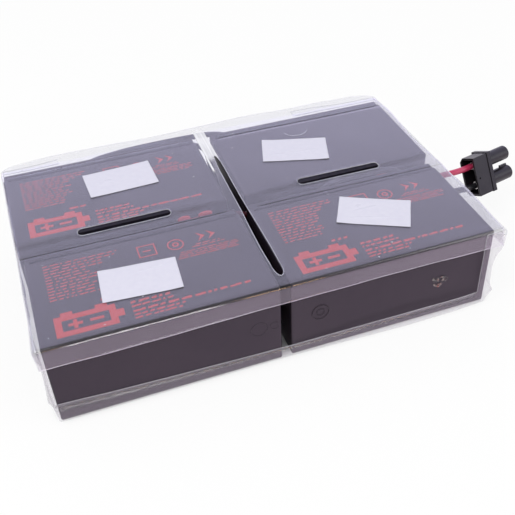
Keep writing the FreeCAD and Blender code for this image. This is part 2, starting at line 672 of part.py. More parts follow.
def battery_place(side, row, face_down):
    """side -1 left, 1 right; row -1 front, 1 rear; the printed face is up unless face_down."""
    pair_gap = size("front_pair_gap") if row < 0 else size("rear_pair_gap")
    column_gap = size("left_column_gap") if side < 0 else size("right_column_gap")
    x = side * (pair_gap + size("case_length")) / 2
    y = column_gap / 2 if row > 0 else -column_gap / 2 - size("case_height")
    z = battery_floor + size("case_thickness") / 2
    return Placement(Vector(x, y, z), turned_over if face_down else on_back)


batteries = {
    "front_left": battery_place(-1, -1, False),
    "front_right": battery_place(1, -1, False),
    "rear_left": battery_place(-1, 1, False),
    "rear_right": battery_place(1, 1, True),
}
terminal_x = size("case_length") / 2 - size("terminal_inset")
terminal_turn = {  # does the crimp barrel point to the battery's own -X?
    "front_left_positive": False, "front_left_negative": False,
    "front_right_positive": True, "front_right_negative": False,
    "rear_left_positive": False, "rear_left_negative": False,
    "rear_right_positive": True, "rear_right_negative": False,
}
crimps = {}  # where each receptacle sits, for its lead
for name, place in batteries.items():
    sub_part(container(name + "_case_body"), name + "_container", place)
    sub_part(lid(name + "_lid_body"), name + "_lid", place)
    sub_part(valve_cover(name + "_strip"), name + "_valve_cover", place)
    sub_part(valve_caps(name + "_caps"), name + "_valve_caps", place)
    sub_part(plate_groups(name + "_plates"), name + "_plate_groups", place)
    for pole, sign in (("positive", 1), ("negative", -1)):
        label = f"{name}_{pole}"
        sub_part(terminal(label + "_lead_part", sign), label + "_terminal", place)
        turn = half_turn_z if terminal_turn[label] else Rotation()
        depth = size("terminal_depth") - size("case_thickness") / 2
        seat = Vector(sign * terminal_x, depth, size("case_height"))
        crimps[label] = place * Placement(seat, turn)
        sub_part(receptacle(label + "_brass"), label + "_receptacle", crimps[label])

for pole, colour in (("positive", "red"), ("negative", "black")):
    group = doc.addObject("Part::Compound", colour + "_sleeves")
    sleeves = [boot(f"{name}_{pole}_sleeve") for name in batteries]
    for sleeve, name in zip(sleeves, batteries):
        sleeve.Placement = crimps[f"{name}_{pole}"]
    group.Links = sleeves
    sub_part(group, colour + "_boots", unmoved)

strands = []
for crimp in crimps.values():
    strand = loose_rod("strand", "core_dia", "core_grip + core_bare")
    start = Vector(size("barrel_reach") - size("core_grip"), 0, size("barrel_height"))
    strand.Placement = crimp * Placement(start, along_x)
    strands.append(strand)
group = doc.addObject("Part::Compound", "strands")
group.Links = strands
sub_part(group, "bare_strands", unmoved)

# ---- wrapping and labels

sub_part(tray(), "tray", unmoved)
sub_part(cover(), "cover", Placement(Vector(0, 0, cover_top - size("cover_flap")), Rotation()))
for name, x, y, angle in (("front_left", -6.5, -6.9, -4.2), ("front_right", 6.9, 2.7, -27.5),
                          ("rear_left", 8.1, 7.2, 2.3), ("rear_right", -18.6, -3.3, -17)):
    paper = loose_block(name + "_paper", "label_length", "label_width", "label_gauge")
    corner = Placement(Vector(-size("label_length") / 2, -size("label_width") / 2, 0), Rotation())
    over = batteries[name] * Vector(0, 0, size("case_height") / 2)
    middle = Placement(Vector(over.x + x, over.y + y, cover_top), Rotation(Vector(0, 0, 1), angle))
    sub_part(paper, name + "_label", middle * corner)

# ---- the connector, held out by its two short leads

mating_face = Vector(right_wall_rear + size("plug_reach"), size("plug_shift"), size("plug_height"))
yaw, roll = math.radians(13.3), math.radians(27.3)
pole_axis = Vector(math.cos(yaw), math.sin(yaw), 0)
upper_side = Vector(-math.sin(yaw) * math.sin(roll), math.cos(yaw) * math.sin(roll), math.cos(roll))
connector_turn = Rotation(upper_side.cross(pole_axis), upper_side, pole_axis, "ZYX")
connector_place = Placement(mating_face, connector_turn)
sub_part(connector_housing(), "connector_housing", connector_place)
crimp_tail = size("cavity_depth") - size("housing_length") - size("crimp_length")
tails = {}
for colour, side in (("red", 1), ("black", -1)):
    pole = Vector(0, side * size("pole_pitch") / 2, 0)
    in_nose = connector_place * Placement(pole, Rotation())
    sub_part(contact(colour + "_turned"), colour + "_contact", in_nose)
    tails[colour] = connector_place * (pole + Vector(0, 0, crimp_tail))

# ---- leads between the terminals and out to the connector

def spots(points, start=Vector()):
    """Points of a route, counted from start."""
    return [start + Vector(*point) for point in points]


def crimped(label):
    """First two points of a lead at a terminal, in line with the barrel."""
    start = size("barrel_reach") + size("core_bare")
    return [crimps[label] * Vector(x, 0, size("barrel_height")) for x in (start, start + size("lead_in"))]


exit_x = right_wall_rear - size("lead_exit") + size("film_gauge")
red_exit = Vector(exit_x, size("exit_spread") / 2, size("red_exit_height"))
black_exit = Vector(exit_x, -size("exit_spread") / 2, size("black_exit_height"))
exit_step = Vector(size("exit_run"), 0, 0)
tail_step = connector_place.Rotation * Vector(0, 0, -size("tail_run"))

red_inner = [(-3, -0.4, 55.5), (8, 2.2, 49), (20, 2.6, 44), (34, 2.7, 41), (54, 2.6, 39.5),
             (80, 2.5, 38), (106, 2.6, 39.5)]
red_end = [(-23.5, 1.1, -0.8)]
black_negative, black_positive = [crimps["front_right_" + pole].Base for pole in ("negative", "positive")]
black_start = [(35.5, 5.6, 5.6), (47.5, 7.7, 6.6)]
black_end = [(-7.5, 7.7, 6.7), (8.5, 2.9, 6.3), (18.5, 2.45, -16)]
rear_lids = Vector(0, block_rear, 0)
left_turn = [(2.8, 2.9, 56)]
rear_bridge = [(-86, 4.6, 60), (-62, 5.4, 62), (-36, 4.9, 62.8), (-10, 5.2, 62.5), (14, 5.9, 61),
               (34, 8.9, 51), (56, 12.4, 40.5), (75, 13.9, 34), (84, 13.4, 25), (83.5, 9.4, 14.5),
               (75, 3.9, 9.6)]
right_turn = [(86, 9.4, 7), (70, 17.4, 5.5), (50, 19.9, 6.5), (28, 16.4, 11), (8, 8.4, 19)]
left_run = [(1, 72, 46.5), (-0.6, 44, 40), (-1.2, 18, 34), (-1, -2.6, 30.5), (-24, -2.9, 28.5),
            (-46, -3, 28), (-66, -3, 33), (-83, -2.8, 45)]
right_run = [(0.5, 90, 23), (-0.8, 64, 22), (0.6, 38, 20), (1, 16, 18.5), (1.4, -2.3, 17.5),
             (24, -2.5, 17), (48, -2.6, 20), (70, -2.6, 31), (86, -2.5, 46)]

lead("red_lead_inner", size("output_dia"),
     crimped("front_left_positive") + spots(red_inner) + spots(red_end, red_exit)
     + [red_exit - exit_step, red_exit])
lead("black_lead_inner", size("output_dia"),
     crimped("front_right_negative") + spots(black_start, black_negative) + spots(black_end, black_positive)
     + [black_exit - exit_step, black_exit])
lead("left_jumper", size("jumper_dia"), crimped("rear_left_positive")[:1] + spots(left_turn, rear_lids)
     + spots(left_run) + crimped("front_left_negative")[::-1])
lead("rear_jumper", size("jumper_dia"), crimped("rear_left_negative") + spots(rear_bridge, rear_lids)
     + crimped("rear_right_positive")[::-1])
lead("right_jumper", size("jumper_dia"), crimped("rear_right_negative") + spots(right_turn, rear_lids)
     + spots(right_run) + crimped("front_right_positive")[::-1])
lead("red_lead_free", size("output_dia"),
     [red_exit, red_exit + exit_step, tails["red"] + tail_step, tails["red"]])
lead("black_lead_free", size("output_dia"),
     [black_exit, black_exit + exit_step, tails["black"] + tail_step, tails["black"]])

# ---- check and write

doc.recompute()
for thing in doc.Objects:
    if {"Invalid", "Error"} & set(thing.State):
        raise RuntimeError(f"{thing.Name} did not build: {thing.State}")
os.makedirs("parts", exist_ok=True)
for part in parts:
    if part.Shape.isNull() or not part.Shape.isValid():
        raise RuntimeError(f"{part.Label} has no sound shape")
    part.Shape.exportStep(f"parts/{part.Label}.step")
print(len(parts), "sub-parts written")
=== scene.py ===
import json
import math
import bmesh
import bpy
import numpy as np
from mathutils import Euler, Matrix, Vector


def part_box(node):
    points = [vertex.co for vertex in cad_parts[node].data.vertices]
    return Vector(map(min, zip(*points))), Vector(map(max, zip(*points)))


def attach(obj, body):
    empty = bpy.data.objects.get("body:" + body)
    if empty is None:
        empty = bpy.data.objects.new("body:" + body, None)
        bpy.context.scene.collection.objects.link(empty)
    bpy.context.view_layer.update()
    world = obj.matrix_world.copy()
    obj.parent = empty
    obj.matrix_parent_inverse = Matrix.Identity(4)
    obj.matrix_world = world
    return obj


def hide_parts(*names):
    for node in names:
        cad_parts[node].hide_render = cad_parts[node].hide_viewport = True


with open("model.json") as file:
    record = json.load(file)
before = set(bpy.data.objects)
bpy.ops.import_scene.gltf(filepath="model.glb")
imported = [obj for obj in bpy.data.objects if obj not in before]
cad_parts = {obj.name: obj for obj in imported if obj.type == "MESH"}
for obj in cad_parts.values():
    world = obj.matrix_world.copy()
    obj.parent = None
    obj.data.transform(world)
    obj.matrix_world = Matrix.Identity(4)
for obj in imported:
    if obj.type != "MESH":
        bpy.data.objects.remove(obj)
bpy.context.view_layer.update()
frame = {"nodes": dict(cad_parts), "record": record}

# ups battery cartridge: four sealed batteries in a folded clear tray and cover.
# Lengths are in millimetres and become metres through the one factor mm.
mm = 0.001


cameraView = {"location": (-128.08, -456.32, 403.71), "turn": (49.758, 0.798, -20.853),
              "lens": 55.6, "shift": (-0.0631, 0.01456)}

cameraData = bpy.data.cameras.new("camera")
cameraData.sensor_width = 36
cameraData.lens = cameraView["lens"]
cameraData.shift_x, cameraData.shift_y = cameraView["shift"]
cameraData.clip_end = 50
camera = bpy.data.objects.new("camera", cameraData)
camera.location = Vector(cameraView["location"]) * mm
camera.rotation_euler = Euler([math.radians(angle) for angle in cameraView["turn"]])
bpy.context.collection.objects.link(camera)
bpy.context.scene.camera = camera
bpy.context.scene.view_settings.view_transform = "Standard"


def joined(*parts):
    return np.concatenate(parts)


def stacked(*parts):
    # values side by side along a new last axis
    return np.stack(parts, -1)


def lattice(a, b):
    return np.meshgrid(a, b, indexing="ij")


def gridQuads(rows, columns, keep=None, start=0, flip=False):
    # cell (i, j) joins points (i, j), (i+1, j), (i+1, j+1) and (i, j+1)
    i, j = lattice(np.arange(rows - 1), np.arange(columns - 1))
    corner = start + i * columns + j
    quads = stacked(corner, corner + columns, corner + columns + 1, corner + 1)
    if flip:
        quads = quads[..., ::-1]
    return quads[keep] if keep is not None else quads.reshape(-1, 4)


def joinGrids(grids, flips=False, keeps=None):
    # points and quads of several grids; flips turn a grid's faces, keeps leave cells out
    points, quads, start = [], [], 0
    for grid, flip, keep in zip(grids, np.broadcast_to(flips, len(grids)), keeps or [None] * len(grids)):
        points.append(grid.reshape(-1, 3))
        quads.append(gridQuads(*grid.shape[:2], keep=keep, start=start, flip=flip))
        start += len(points[-1])
    return np.concatenate(points), np.concatenate(quads)


def makePiece(name, points, quads, materials, slot, merge=1e-7, faceSlots=None, smooth=True, gauge=0, rim=0):
    # mesh that rides on the body; points nearer than merge (m) become one, and its gauge is laid
    # inwards; the cut edge takes the material that rim counts on
    mesh = bpy.data.meshes.new(name)
    mesh.from_pydata((np.asarray(points) * mm).tolist(), [], np.asarray(quads).tolist())
    if faceSlots is not None:
        mesh.polygons.foreach_set("material_index", np.asarray(faceSlots, dtype=np.int32))
    for material in materials:
        mesh.materials.append(material)
    if merge:
        body = bmesh.new()
        body.from_mesh(mesh)
        bmesh.ops.remove_doubles(body, verts=body.verts, dist=merge)
        body.to_mesh(mesh)
        body.free()
    mesh.polygons.foreach_set("use_smooth", np.full(len(mesh.polygons), smooth))
    piece = bpy.data.objects.new(name, mesh)
    bpy.context.collection.objects.link(piece)
    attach(piece, "root")
    if gauge:
        wall = piece.modifiers.new("wall", "SOLIDIFY")
        wall.thickness = gauge * mm
        wall.offset = -1
        wall.use_rim = True
        wall.material_offset_rim = rim
        wall.use_quality_normals = True
    return piece


def quarter(radius, count):
    # steps of a quarter circle: how far out, and how far down
    turn = np.linspace(0, math.pi / 2, count)
    return radius * np.sin(turn), radius * (1 - np.cos(turn))


def ease(t):
    # smoothstep 3t^2 - 2t^3 between 0 and 1
    t = np.clip(t, 0, 1)
    return t * t * (3 - 2 * t)


def bell(*terms):
    # e to the minus sum of the terms' squares
    return np.exp(-sum(term ** 2 for term in terms))


def unit(vectors):
    return vectors / (np.linalg.norm(vectors, axis=-1, keepdims=True) + 1e-12)


def ripple(x, y, waves):
    # sum of amplitude * sin(2 pi (x along + y across) / length + phase)
    total = np.zeros(np.broadcast(x, y).shape)
    for amplitude, length, angle, phase in waves:
        along = x * math.cos(angle) + y * math.sin(angle)
        total = total + amplitude * np.sin(2 * math.pi * along / length + phase)
    return total


def through(value, places, heights, reach=6):
    # smooth curve: linear interpolation averaged within reach on both sides
    shifts = np.linspace(-reach, reach, 2 * reach + 1)
    return np.mean([np.interp(value + shift, places, heights) for shift in shifts], axis=0)


def stretched(value, calm, end, goal):
    # lines past calm are spread in proportion, so that the one at end lands on goal
    past = (value - calm) * math.copysign(1, end - calm) > 0
    return np.where(past, calm + (value - calm) * (goal - calm) / (end - calm), value)


def feed(tree, source, socket):
    # another node's socket is linked, a number or colour becomes the value
    if isinstance(source, bpy.types.NodeSocket):
        tree.links.new(source, socket)
    else:
        socket.default_value = source


def node(tree, kind, *sources, **settings):
    # settings go to the properties or sockets they name, sources to the sockets in order
    made = tree.nodes.new("ShaderNode" + kind)
    for key, value in settings.items():
        if hasattr(made, key):
            setattr(made, key, value)
        else:
            feed(tree, value, made.inputs[key.replace("_", " ")])
    for source, socket in zip(sources, made.inputs):
        feed(tree, source, socket)
    return made


def result(tree, kind, *sources, **settings):
    return node(tree, kind, *sources, **settings).outputs[0]


def calc(tree, operation, *sources):
    return result(tree, "Math", *sources, operation=operation)


def multiply(tree, *sources):
    value = sources[0]
    for source in sources[1:]:
        value = calc(tree, "MULTIPLY", value, source)
    return value


def newMaterial(name, surface):
    # material whose surface is what the given function makes in its node tree
    material = bpy.data.materials.new(name)
    material.use_nodes = True
    material.node_tree.nodes.clear()
    node(material.node_tree, "OutputMaterial", surface(material.node_tree))
    return material


def principled(tree, color, roughness, **sockets):
    # plain colour and roughness first, then the patterns linked over them
    shader = node(tree, "BsdfPrincipled", Base_Color=(*color, 1), Roughness=roughness)
    for key, source in sockets.items():
        feed(tree, source, shader.inputs[key.replace("_", " ")])
    return shader.outputs[0]


def objectPlace(tree):
    # x, y and z in the object's own coordinates, in metres
    return node(tree, "SeparateXYZ", node(tree, "TexCoord").outputs["Object"]).outputs


def noiseAt(tree, scale, detail=3, roughness=0.5, stretch=None):
    # noise over object coordinates; scale is features per metre
    where = node(tree, "TexCoord").outputs["Object"]
    if stretch:
        where = result(tree, "Mapping", where, Scale=stretch)
    return result(tree, "TexNoise", where, Scale=scale, Detail=detail, Roughness=roughness)


def ramp(tree, source, stops):
    # colours between stops of (place, colour)
    made = node(tree, "ValToRGB", source)
    elements = made.color_ramp.elements
    while len(elements) < len(stops):
        elements.new(0.5)
    for element, (place, color) in zip(elements, stops):
        element.position = place
        element.color = (*color, 1)
    return made.outputs[0]


def spread(tree, source, low, high):
    # 0 to 1 becomes low to high
    return result(tree, "MapRange", source, To_Min=low, To_Max=high)


def bump(tree, source, height):
    return result(tree, "Bump", Height=source, Distance=height * mm, Strength=1.0)


def window(tree, value, low, high, soft):
    # 1 between low and high (mm), smooth to 0 within soft outside of them
    edges = [result(tree, "MapRange", value, interpolation_type="SMOOTHSTEP", From_Min=start * mm,
                    From_Max=end * mm) for start, end in ((low - soft, low), (high + soft, high))]
    return multiply(tree, *edges)


def worn(name, color, roughness, tones, patches, gloss=None, grain=None, height=0, **sockets):
    # tones in the patches of a noise, gloss that follows them (added to the roughness), and the bumps
    # of a grain; each noise is its scale, detail, roughness and stretch
    def surface(tree):
        patch = noiseAt(tree, *patches)
        sockets["Base_Color"] = ramp(tree, patch, tones)
        if gloss:
            sockets["Roughness"] = spread(tree, patch, roughness + gloss[0], roughness + gloss[1])
        if grain:
            sockets["Normal"] = bump(tree, noiseAt(tree, *grain), height)
        return principled(tree, color, roughness, **sockets)
    return newMaterial(name, surface)


def moulded(name, color, rubbed, roughness, specular, cloud=35, grain=1500, height=0.006):
    # moulded plastic: fine eroded grain, soft cloudy wear in colour and gloss
    return worn(name, color, roughness, [(0.3, color), (0.75, rubbed)], (cloud, 4, 0.6), (-0.06, 0.08),
                (grain, 2, 0.7), height, IOR=1.5, Specular_IOR_Level=specular)


def vinyl(name, color, faded, roughness, coat):
    # smooth vinyl sleeve with faint flow marks and dull patches
    return worn(name, color, roughness, [(0.3, color), (0.8, faded)], (90, 3, 0.55), (-0.05, 0.1),
                (900, 2, 0.5), 0.03, IOR=1.5, Coat_Weight=coat, Coat_Roughness=0.15)


def metal(name, color, dull, roughness, cloud):
    # drawn or plated metal: cloudy tarnish, fine scratches along X
    return worn(name, color, roughness, [(0.25, dull), (0.7, color)], (cloud, 4, 0.6), (0.12, -0.06),
                (400, 2, 0.5, (1, 14, 14)), 0.02, Metallic=1.0)


lidGrain = {"cloud": 40, "height": 0.005}
casePlastic = moulded("casePlastic", (0.012, 0.007, 0.013), (0.021, 0.014, 0.021), 0.42, 0.5)
# near-black matte that paints the shade in the seams between containers and lids
seamShade = moulded("seamShade", (0.001, 0.001, 0.001), (0.003, 0.002, 0.003), 0.9, 0.0, **lidGrain)
# dark finish that paints the shade inside the side slots
slotShade = moulded("slotShade", (0.008, 0.006, 0.012), (0.02, 0.017, 0.028), 0.6, 0.25)
redVinyl = vinyl("redVinyl", (0.45, 0.02, 0.08), (0.6, 0.06, 0.14), 0.28, 0.4)
blackVinyl = vinyl("blackVinyl", (0.012, 0.012, 0.015), (0.03, 0.028, 0.033), 0.3, 0.3)
redSleeve = vinyl("redSleeve", (0.5, 0.022, 0.02), (0.62, 0.05, 0.045), 0.4, 0.1)
# the leads' red darkened to paint the shade deep in the gap between the batteries
paintedShadeRed = vinyl("paintedShadeRed", (0.06, 0.004, 0.01), (0.11, 0.01, 0.02), 0.45, 0.0)
printInk = worn("printInk", (0.5, 0.032, 0.018), 0.45,
                [(0.3, (0.44, 0.028, 0.014)), (0.7, (0.56, 0.038, 0.022))], (900, 3, 0.6),
                grain=(2600, 2, 0.6), height=0.03)
dustGrain = worn("dust", (0.7, 0.7, 0.74), 0.8, [(0.3, (0.55, 0.55, 0.6)), (0.7, (0.85, 0.85, 0.88))],
                 (3000, 2, 0.5))


def labelPaperSurface(tree):
    # satin label stock: faint fibres, a few glossy streaks
    tones = ramp(tree, noiseAt(tree, 260, 4, 0.6), [(0.25, (0.65, 0.64, 0.745)), (0.75, (0.69, 0.68, 0.775))])
    streak = noiseAt(tree, 60, 3, 0.5, (0.5, 2.2, 1))
    return principled(tree, (0.67, 0.66, 0.76), 0.4, Base_Color=tones,
                      Roughness=spread(tree, streak, 0.2, 0.42), Normal=bump(tree, streak, 0.12))


def residueSurface(tree):
    # torn remains of a sticker: pale fibres, some of them pink, on see-through glue
    tones = ramp(tree, noiseAt(tree, 330, 3, 0.6),
                 [(0.35, (0.06, 0.07, 0.07)), (0.5, (0.26, 0.23, 0.23)), (0.66, (0.34, 0.1, 0.09))])
    torn = ramp(tree, noiseAt(tree, 240, 4, 0.65), [(0.44, (0, 0, 0)), (0.62, (1, 1, 1))])
    return result(tree, "MixShader", torn, result(tree, "BsdfTransparent"),
                  result(tree, "BsdfPrincipled", Base_Color=tones, Roughness=0.7))


labelPaper = newMaterial("labelPaper", labelPaperSurface)
stickerResidue = newMaterial("stickerResidue", residueSurface)


def paintedStreaks(tree, marks):
    # painted highlights: whiter haze in streaks where the sheet is pulled down between the two rear batteries
    x, y = objectPlace(tree)[:2]
    areas = [multiply(tree, window(tree, x, *across), window(tree, y, *along))
             for across, along in marks["areas"]]
    streak = noiseAt(tree, 60, 1, 0.5, (8, 0.1, 0.1))
    return multiply(tree, calc(tree, "MAXIMUM", *areas), spread(tree, streak, *marks["amount"]))


def clearSheet(name, finish):
    # clear vinyl: lets light straight through, mirrors by angle, and scatters a little
    def surface(tree):
        normal = bump(tree, noiseAt(tree, finish["waveScale"], 3, 0.5), finish["waveHeight"])
        clear = result(tree, "BsdfTransparent", (*finish["tint"], 1))
        mirror = result(tree, "BsdfGlossy", Color=(*finish["mirror"], 1), Roughness=finish["roughness"],
                        Normal=normal)
        haze = result(tree, "BsdfDiffuse", (*finish["hazeColor"], 1))
        # the mirror's share: facing to the power of steepness, times grazing, plus headOn
        steep = calc(tree, "POWER", node(tree, "LayerWeight", Normal=normal).outputs["Facing"],
                     finish["steepness"])
        share = calc(tree, "MULTIPLY_ADD", steep, finish["grazing"], finish["headOn"])
        # the slack film behind the batteries mirrors less
        behind = window(tree, objectPlace(tree)[1], *finish["pale"])
        share = multiply(tree, share, spread(tree, behind, 1, finish["paleShare"]))
        smear = noiseAt(tree, finish["smearScale"], 5, 0.6)
        amount = spread(tree, smear, finish["haze"] * 0.6, finish["haze"] * 1.4)
        # the whiter haze in the streaks paints their highlights
        if "marks" in finish:
            amount = calc(tree, "MAXIMUM", amount, paintedStreaks(tree, finish["marks"]))
        return result(tree, "MixShader", amount, result(tree, "MixShader", share, clear, mirror), haze)
    return newMaterial(name, surface)


# pale, and the areas across and along, are windows: low, high and the softness of their edges
sheetFinish = {"pale": (104, 400, 4), "paleShare": 0.3, "tint": (0.99, 0.99, 0.992),
               "mirror": (0.98, 0.975, 1.0), "roughness": 0.05, "headOn": 0.056, "grazing": 0.78,
               "steepness": 3.2, "hazeColor": (0.9, 0.9, 0.94), "haze": 0.014,
               "waveScale": 28, "waveHeight": 0.12, "smearScale": 45}
# areas of the painted highlight streaks over the gap between the rear batteries
paintedStreakAreas = {"areas": [((-4.9, 3.4, 0.7), (66, 97.5, 12)), ((-5.4, -4.5, 0.5), (46, 62, 6))],
               "amount": (0.12, 1.12)}
trayFinish = dict(sheetFinish, headOn=0.05, grazing=0.3, roughness=0.3)
clearVinyl = clearSheet("clearVinyl", sheetFinish)
coverVinyl = clearSheet("coverVinyl", dict(sheetFinish, marks=paintedStreakAreas))
# pale haze on the sheets' cut edges: partly the edges' own scatter, partly a painted highlight along them
cutEdge = clearSheet("cutEdge", dict(sheetFinish, haze=0.5, hazeColor=(0.92, 0.92, 0.96)))
trayVinyl = clearSheet("trayVinyl", trayFinish)
foldVinyl = clearSheet("foldVinyl", dict(trayFinish, headOn=0.02, grazing=0.04, roughness=0.4, haze=0.05))
creaseLine = clearSheet("creaseLine", dict(sheetFinish, haze=0.7, hazeColor=(0.3, 0.3, 0.38)))
# pale haze on the slot rims and the ring: partly the cut lip's own scatter, partly a painted highlight along
# them
curledRim = clearSheet("curledRim", dict(sheetFinish, haze=0.42, hazeColor=(0.82, 0.83, 0.95)))

slotMaterials = {
    "case_plastic": casePlastic,
    "lid_plastic": moulded("lidPlastic", (0.007, 0.004, 0.008), (0.013, 0.009, 0.014), 0.4, 0.3, **lidGrain),
    "connector_plastic": moulded("connectorPlastic", (0.008, 0.006, 0.008), (0.016, 0.013, 0.017), 0.3, 0.5,
                                 cloud=120, grain=3500, height=0.02),
    "valve_rubber": worn("valveRubber", (0.02, 0.02, 0.02), 0.75,
                         [(0.35, (0.015, 0.015, 0.016)), (0.8, (0.05, 0.05, 0.05))], (350, 4, 0.6),
                         grain=(2200, 2, 0.6), height=0.04),
    "plate_lead": metal("plateLead", (0.32, 0.33, 0.35), (0.16, 0.165, 0.18), 0.6, 180),
    "terminal_tin": metal("terminalTin", (0.68, 0.68, 0.66), (0.42, 0.42, 0.4), 0.35, 220),
    "receptacle_brass": metal("receptacleBrass", (0.83, 0.62, 0.28), (0.55, 0.36, 0.14), 0.32, 260),
    "strand_copper": metal("strandCopper", (0.9, 0.5, 0.3), (0.5, 0.24, 0.13), 0.35, 600),
    "contact_silver": metal("contactSilver", (0.86, 0.85, 0.82), (0.6, 0.58, 0.52), 0.22, 300),
    "red_sleeve": redSleeve,
    "black_sleeve": vinyl("blackSleeve", (0.015, 0.015, 0.017), (0.03, 0.03, 0.033), 0.42, 0.1),
    "red_insulation": redVinyl, "black_insulation": blackVinyl,
    "clear_sheet": clearVinyl, "blank_label": labelPaper,
}
ownMaterials = {"red_lead_inner": paintedShadeRed}  # the inner lead runs deep in the gap; its darker red paints the shade there
for part in frame["record"]["subparts"]:
    for materialSlot in frame["nodes"][part["node"]].material_slots:
        materialSlot.material = ownMaterials.get(part["node"], slotMaterials[part["material_slot"]])


# outline of the wrapping and heights of the batteries
sheetGauge = 0.5
batteryTop = 65.5
block = {"front": -101.05, "endWall": 111.3, "rearSwell": 9.5, "swellHalf": 158}
rightEdge = {"y": [-101.05, -94, -60, -38, -24, -9, 10, 35, 60, 81, 97, 111.3],
             "x": [162.6, 162.6, 164.0, 164.3, 162.4, 163.2, 161.4, 160.4, 161.4, 162.6, 160.3, 160.65]}
leftEdge = {"y": [-101.05, -92, -70, -35, 0, 40, 80, 111.3],
            "x": [-160.0, -159.8, -158.6, -158.7, -157.9, -158.6, -158.2, -158.6]}
rearEdge = {"x": [-159, -156, -151.8, -138.3, -118.7, -79, -38, -17, 4.3, 26.8, 49.3, 81.8, 117.5, 140.7,
                  154, 160.5],
            "y": [103.5, 107.5, 111.8, 114.2, 115.9, 115.3, 114.3, 114.2, 115.0, 116.9, 117.6, 114.8, 115.8,
                  114.7, 111, 105]}


def rearLine(x):
    # rear edge of the cover
    return through(x, rearEdge["x"], rearEdge["y"], 3)


def rearSwell(x):
    # how far the tray's floor reaches behind the cover: swell * (1 - |x / half|^3)
    return block["rearSwell"] * (1 - np.clip(np.abs(x / block["swellHalf"]), 0, 1) ** 3)


# waves of the cover: amplitude, length, direction and phase
topWaves = [(0.16, 210, 0.4, 0.6), (0.1, 95, 1.9, 2.1), (0.06, 61, 0.9, 4.0), (0.04, 37, 2.6, 1.2)]
rearSlackWaves = [(0.35, 90, 0.15, 0.5), (0.2, 47, 0.5, 2.2)]
topForm = {"lift": 0.42, "slackFrom": 96, "slackRun": 14, "slackDrop": 0.25, "dip": 0.35, "dipMiddle": 0.3,
           "dipHalf": 4.5, "dipFrom": 12, "dipRun": 14, "calmFront": 12}
# creases that the lids' seams press into the cover: side (-1 left, 1 right) and place
creases = {"lines": [(-1, 94.0), (1, 87.8), (1, -12.8), (-1, -10.6)], "depth": 0.3, "half": 0.5}


def sheetTop(x, y):
    # outer height of the cover: waves, slack behind the batteries, a shallow dip over the gaps
    t = topForm
    waves = ripple(x, y, topWaves) * ease((y + 101) / t["calmFront"])
    slack = ease((y - t["slackFrom"]) / t["slackRun"]) * (ripple(x, y, rearSlackWaves) - t["slackDrop"])
    dip = -t["dip"] * bell((y - t["dipMiddle"]) / t["dipHalf"])
    dip = dip * ease((np.abs(x) - t["dipFrom"]) / t["dipRun"])
    return batteryTop + sheetGauge + t["lift"] + waves + slack + dip


# cover: a grid with three openings, and a folded flap carried round its border
cover = {"fold": 3.4, "flap": 18.6, "sideSlotMiddle": 82, "sideSlotHalf": 33.5, "sideSlotY": 4.8,
         "sideSlotRadius": 4.0, "push": 12, "step": 2.4, "gridLeft": -157.8, "gridRight": 161.4,
         "gridRear": 130.95, "calm": 125, "calmRear": 92}
# edges of the middle slot: a blunt nose in front, a long point at the rear
middleSlot = {
    "y": [-120, -95, -90.2, -89.2, -88, -86.5, -84, -60, -30, -14, 4, 25, 43, 55, 61, 64.5, 72, 84],
    "left": [0, 0.3, 0.7, -0.7, -1.3, -1.8, -2.3, -2.8, -2.3, -1.6, -1.4, -1.1, -0.9, -0.3, 0.4, 1.4, 0.8, 0],
    "right": [0, 0.3, 0.7, 1.9, 2.8, 3.4, 3.9, 4.2, 3.8, 3.4, 3.2, 3.3, 3.6, 3.5, 2.6, 1.4, 0.8, 0],
}


def slotLines(start, end, radius):
    # grid lines at both rounded ends of a slot, closer towards the ends
    inset = quarter(radius, 7)[1]
    return joined(start + inset, end - inset)


def zipper(lines, middle):
    # the middle line twice, so that the grid can open there
    lines = np.unique(np.round(lines, 4))
    lines = lines[np.abs(lines - middle) > 0.3]
    before, after = lines[lines < middle], lines[lines > middle]
    return joined(before, [middle, middle], after), len(before)


def curl(distance):
    # lip that the blade left at a slot: a rise that fades over 2.5 mm
    return 0.35 * bell(distance / 1.1)


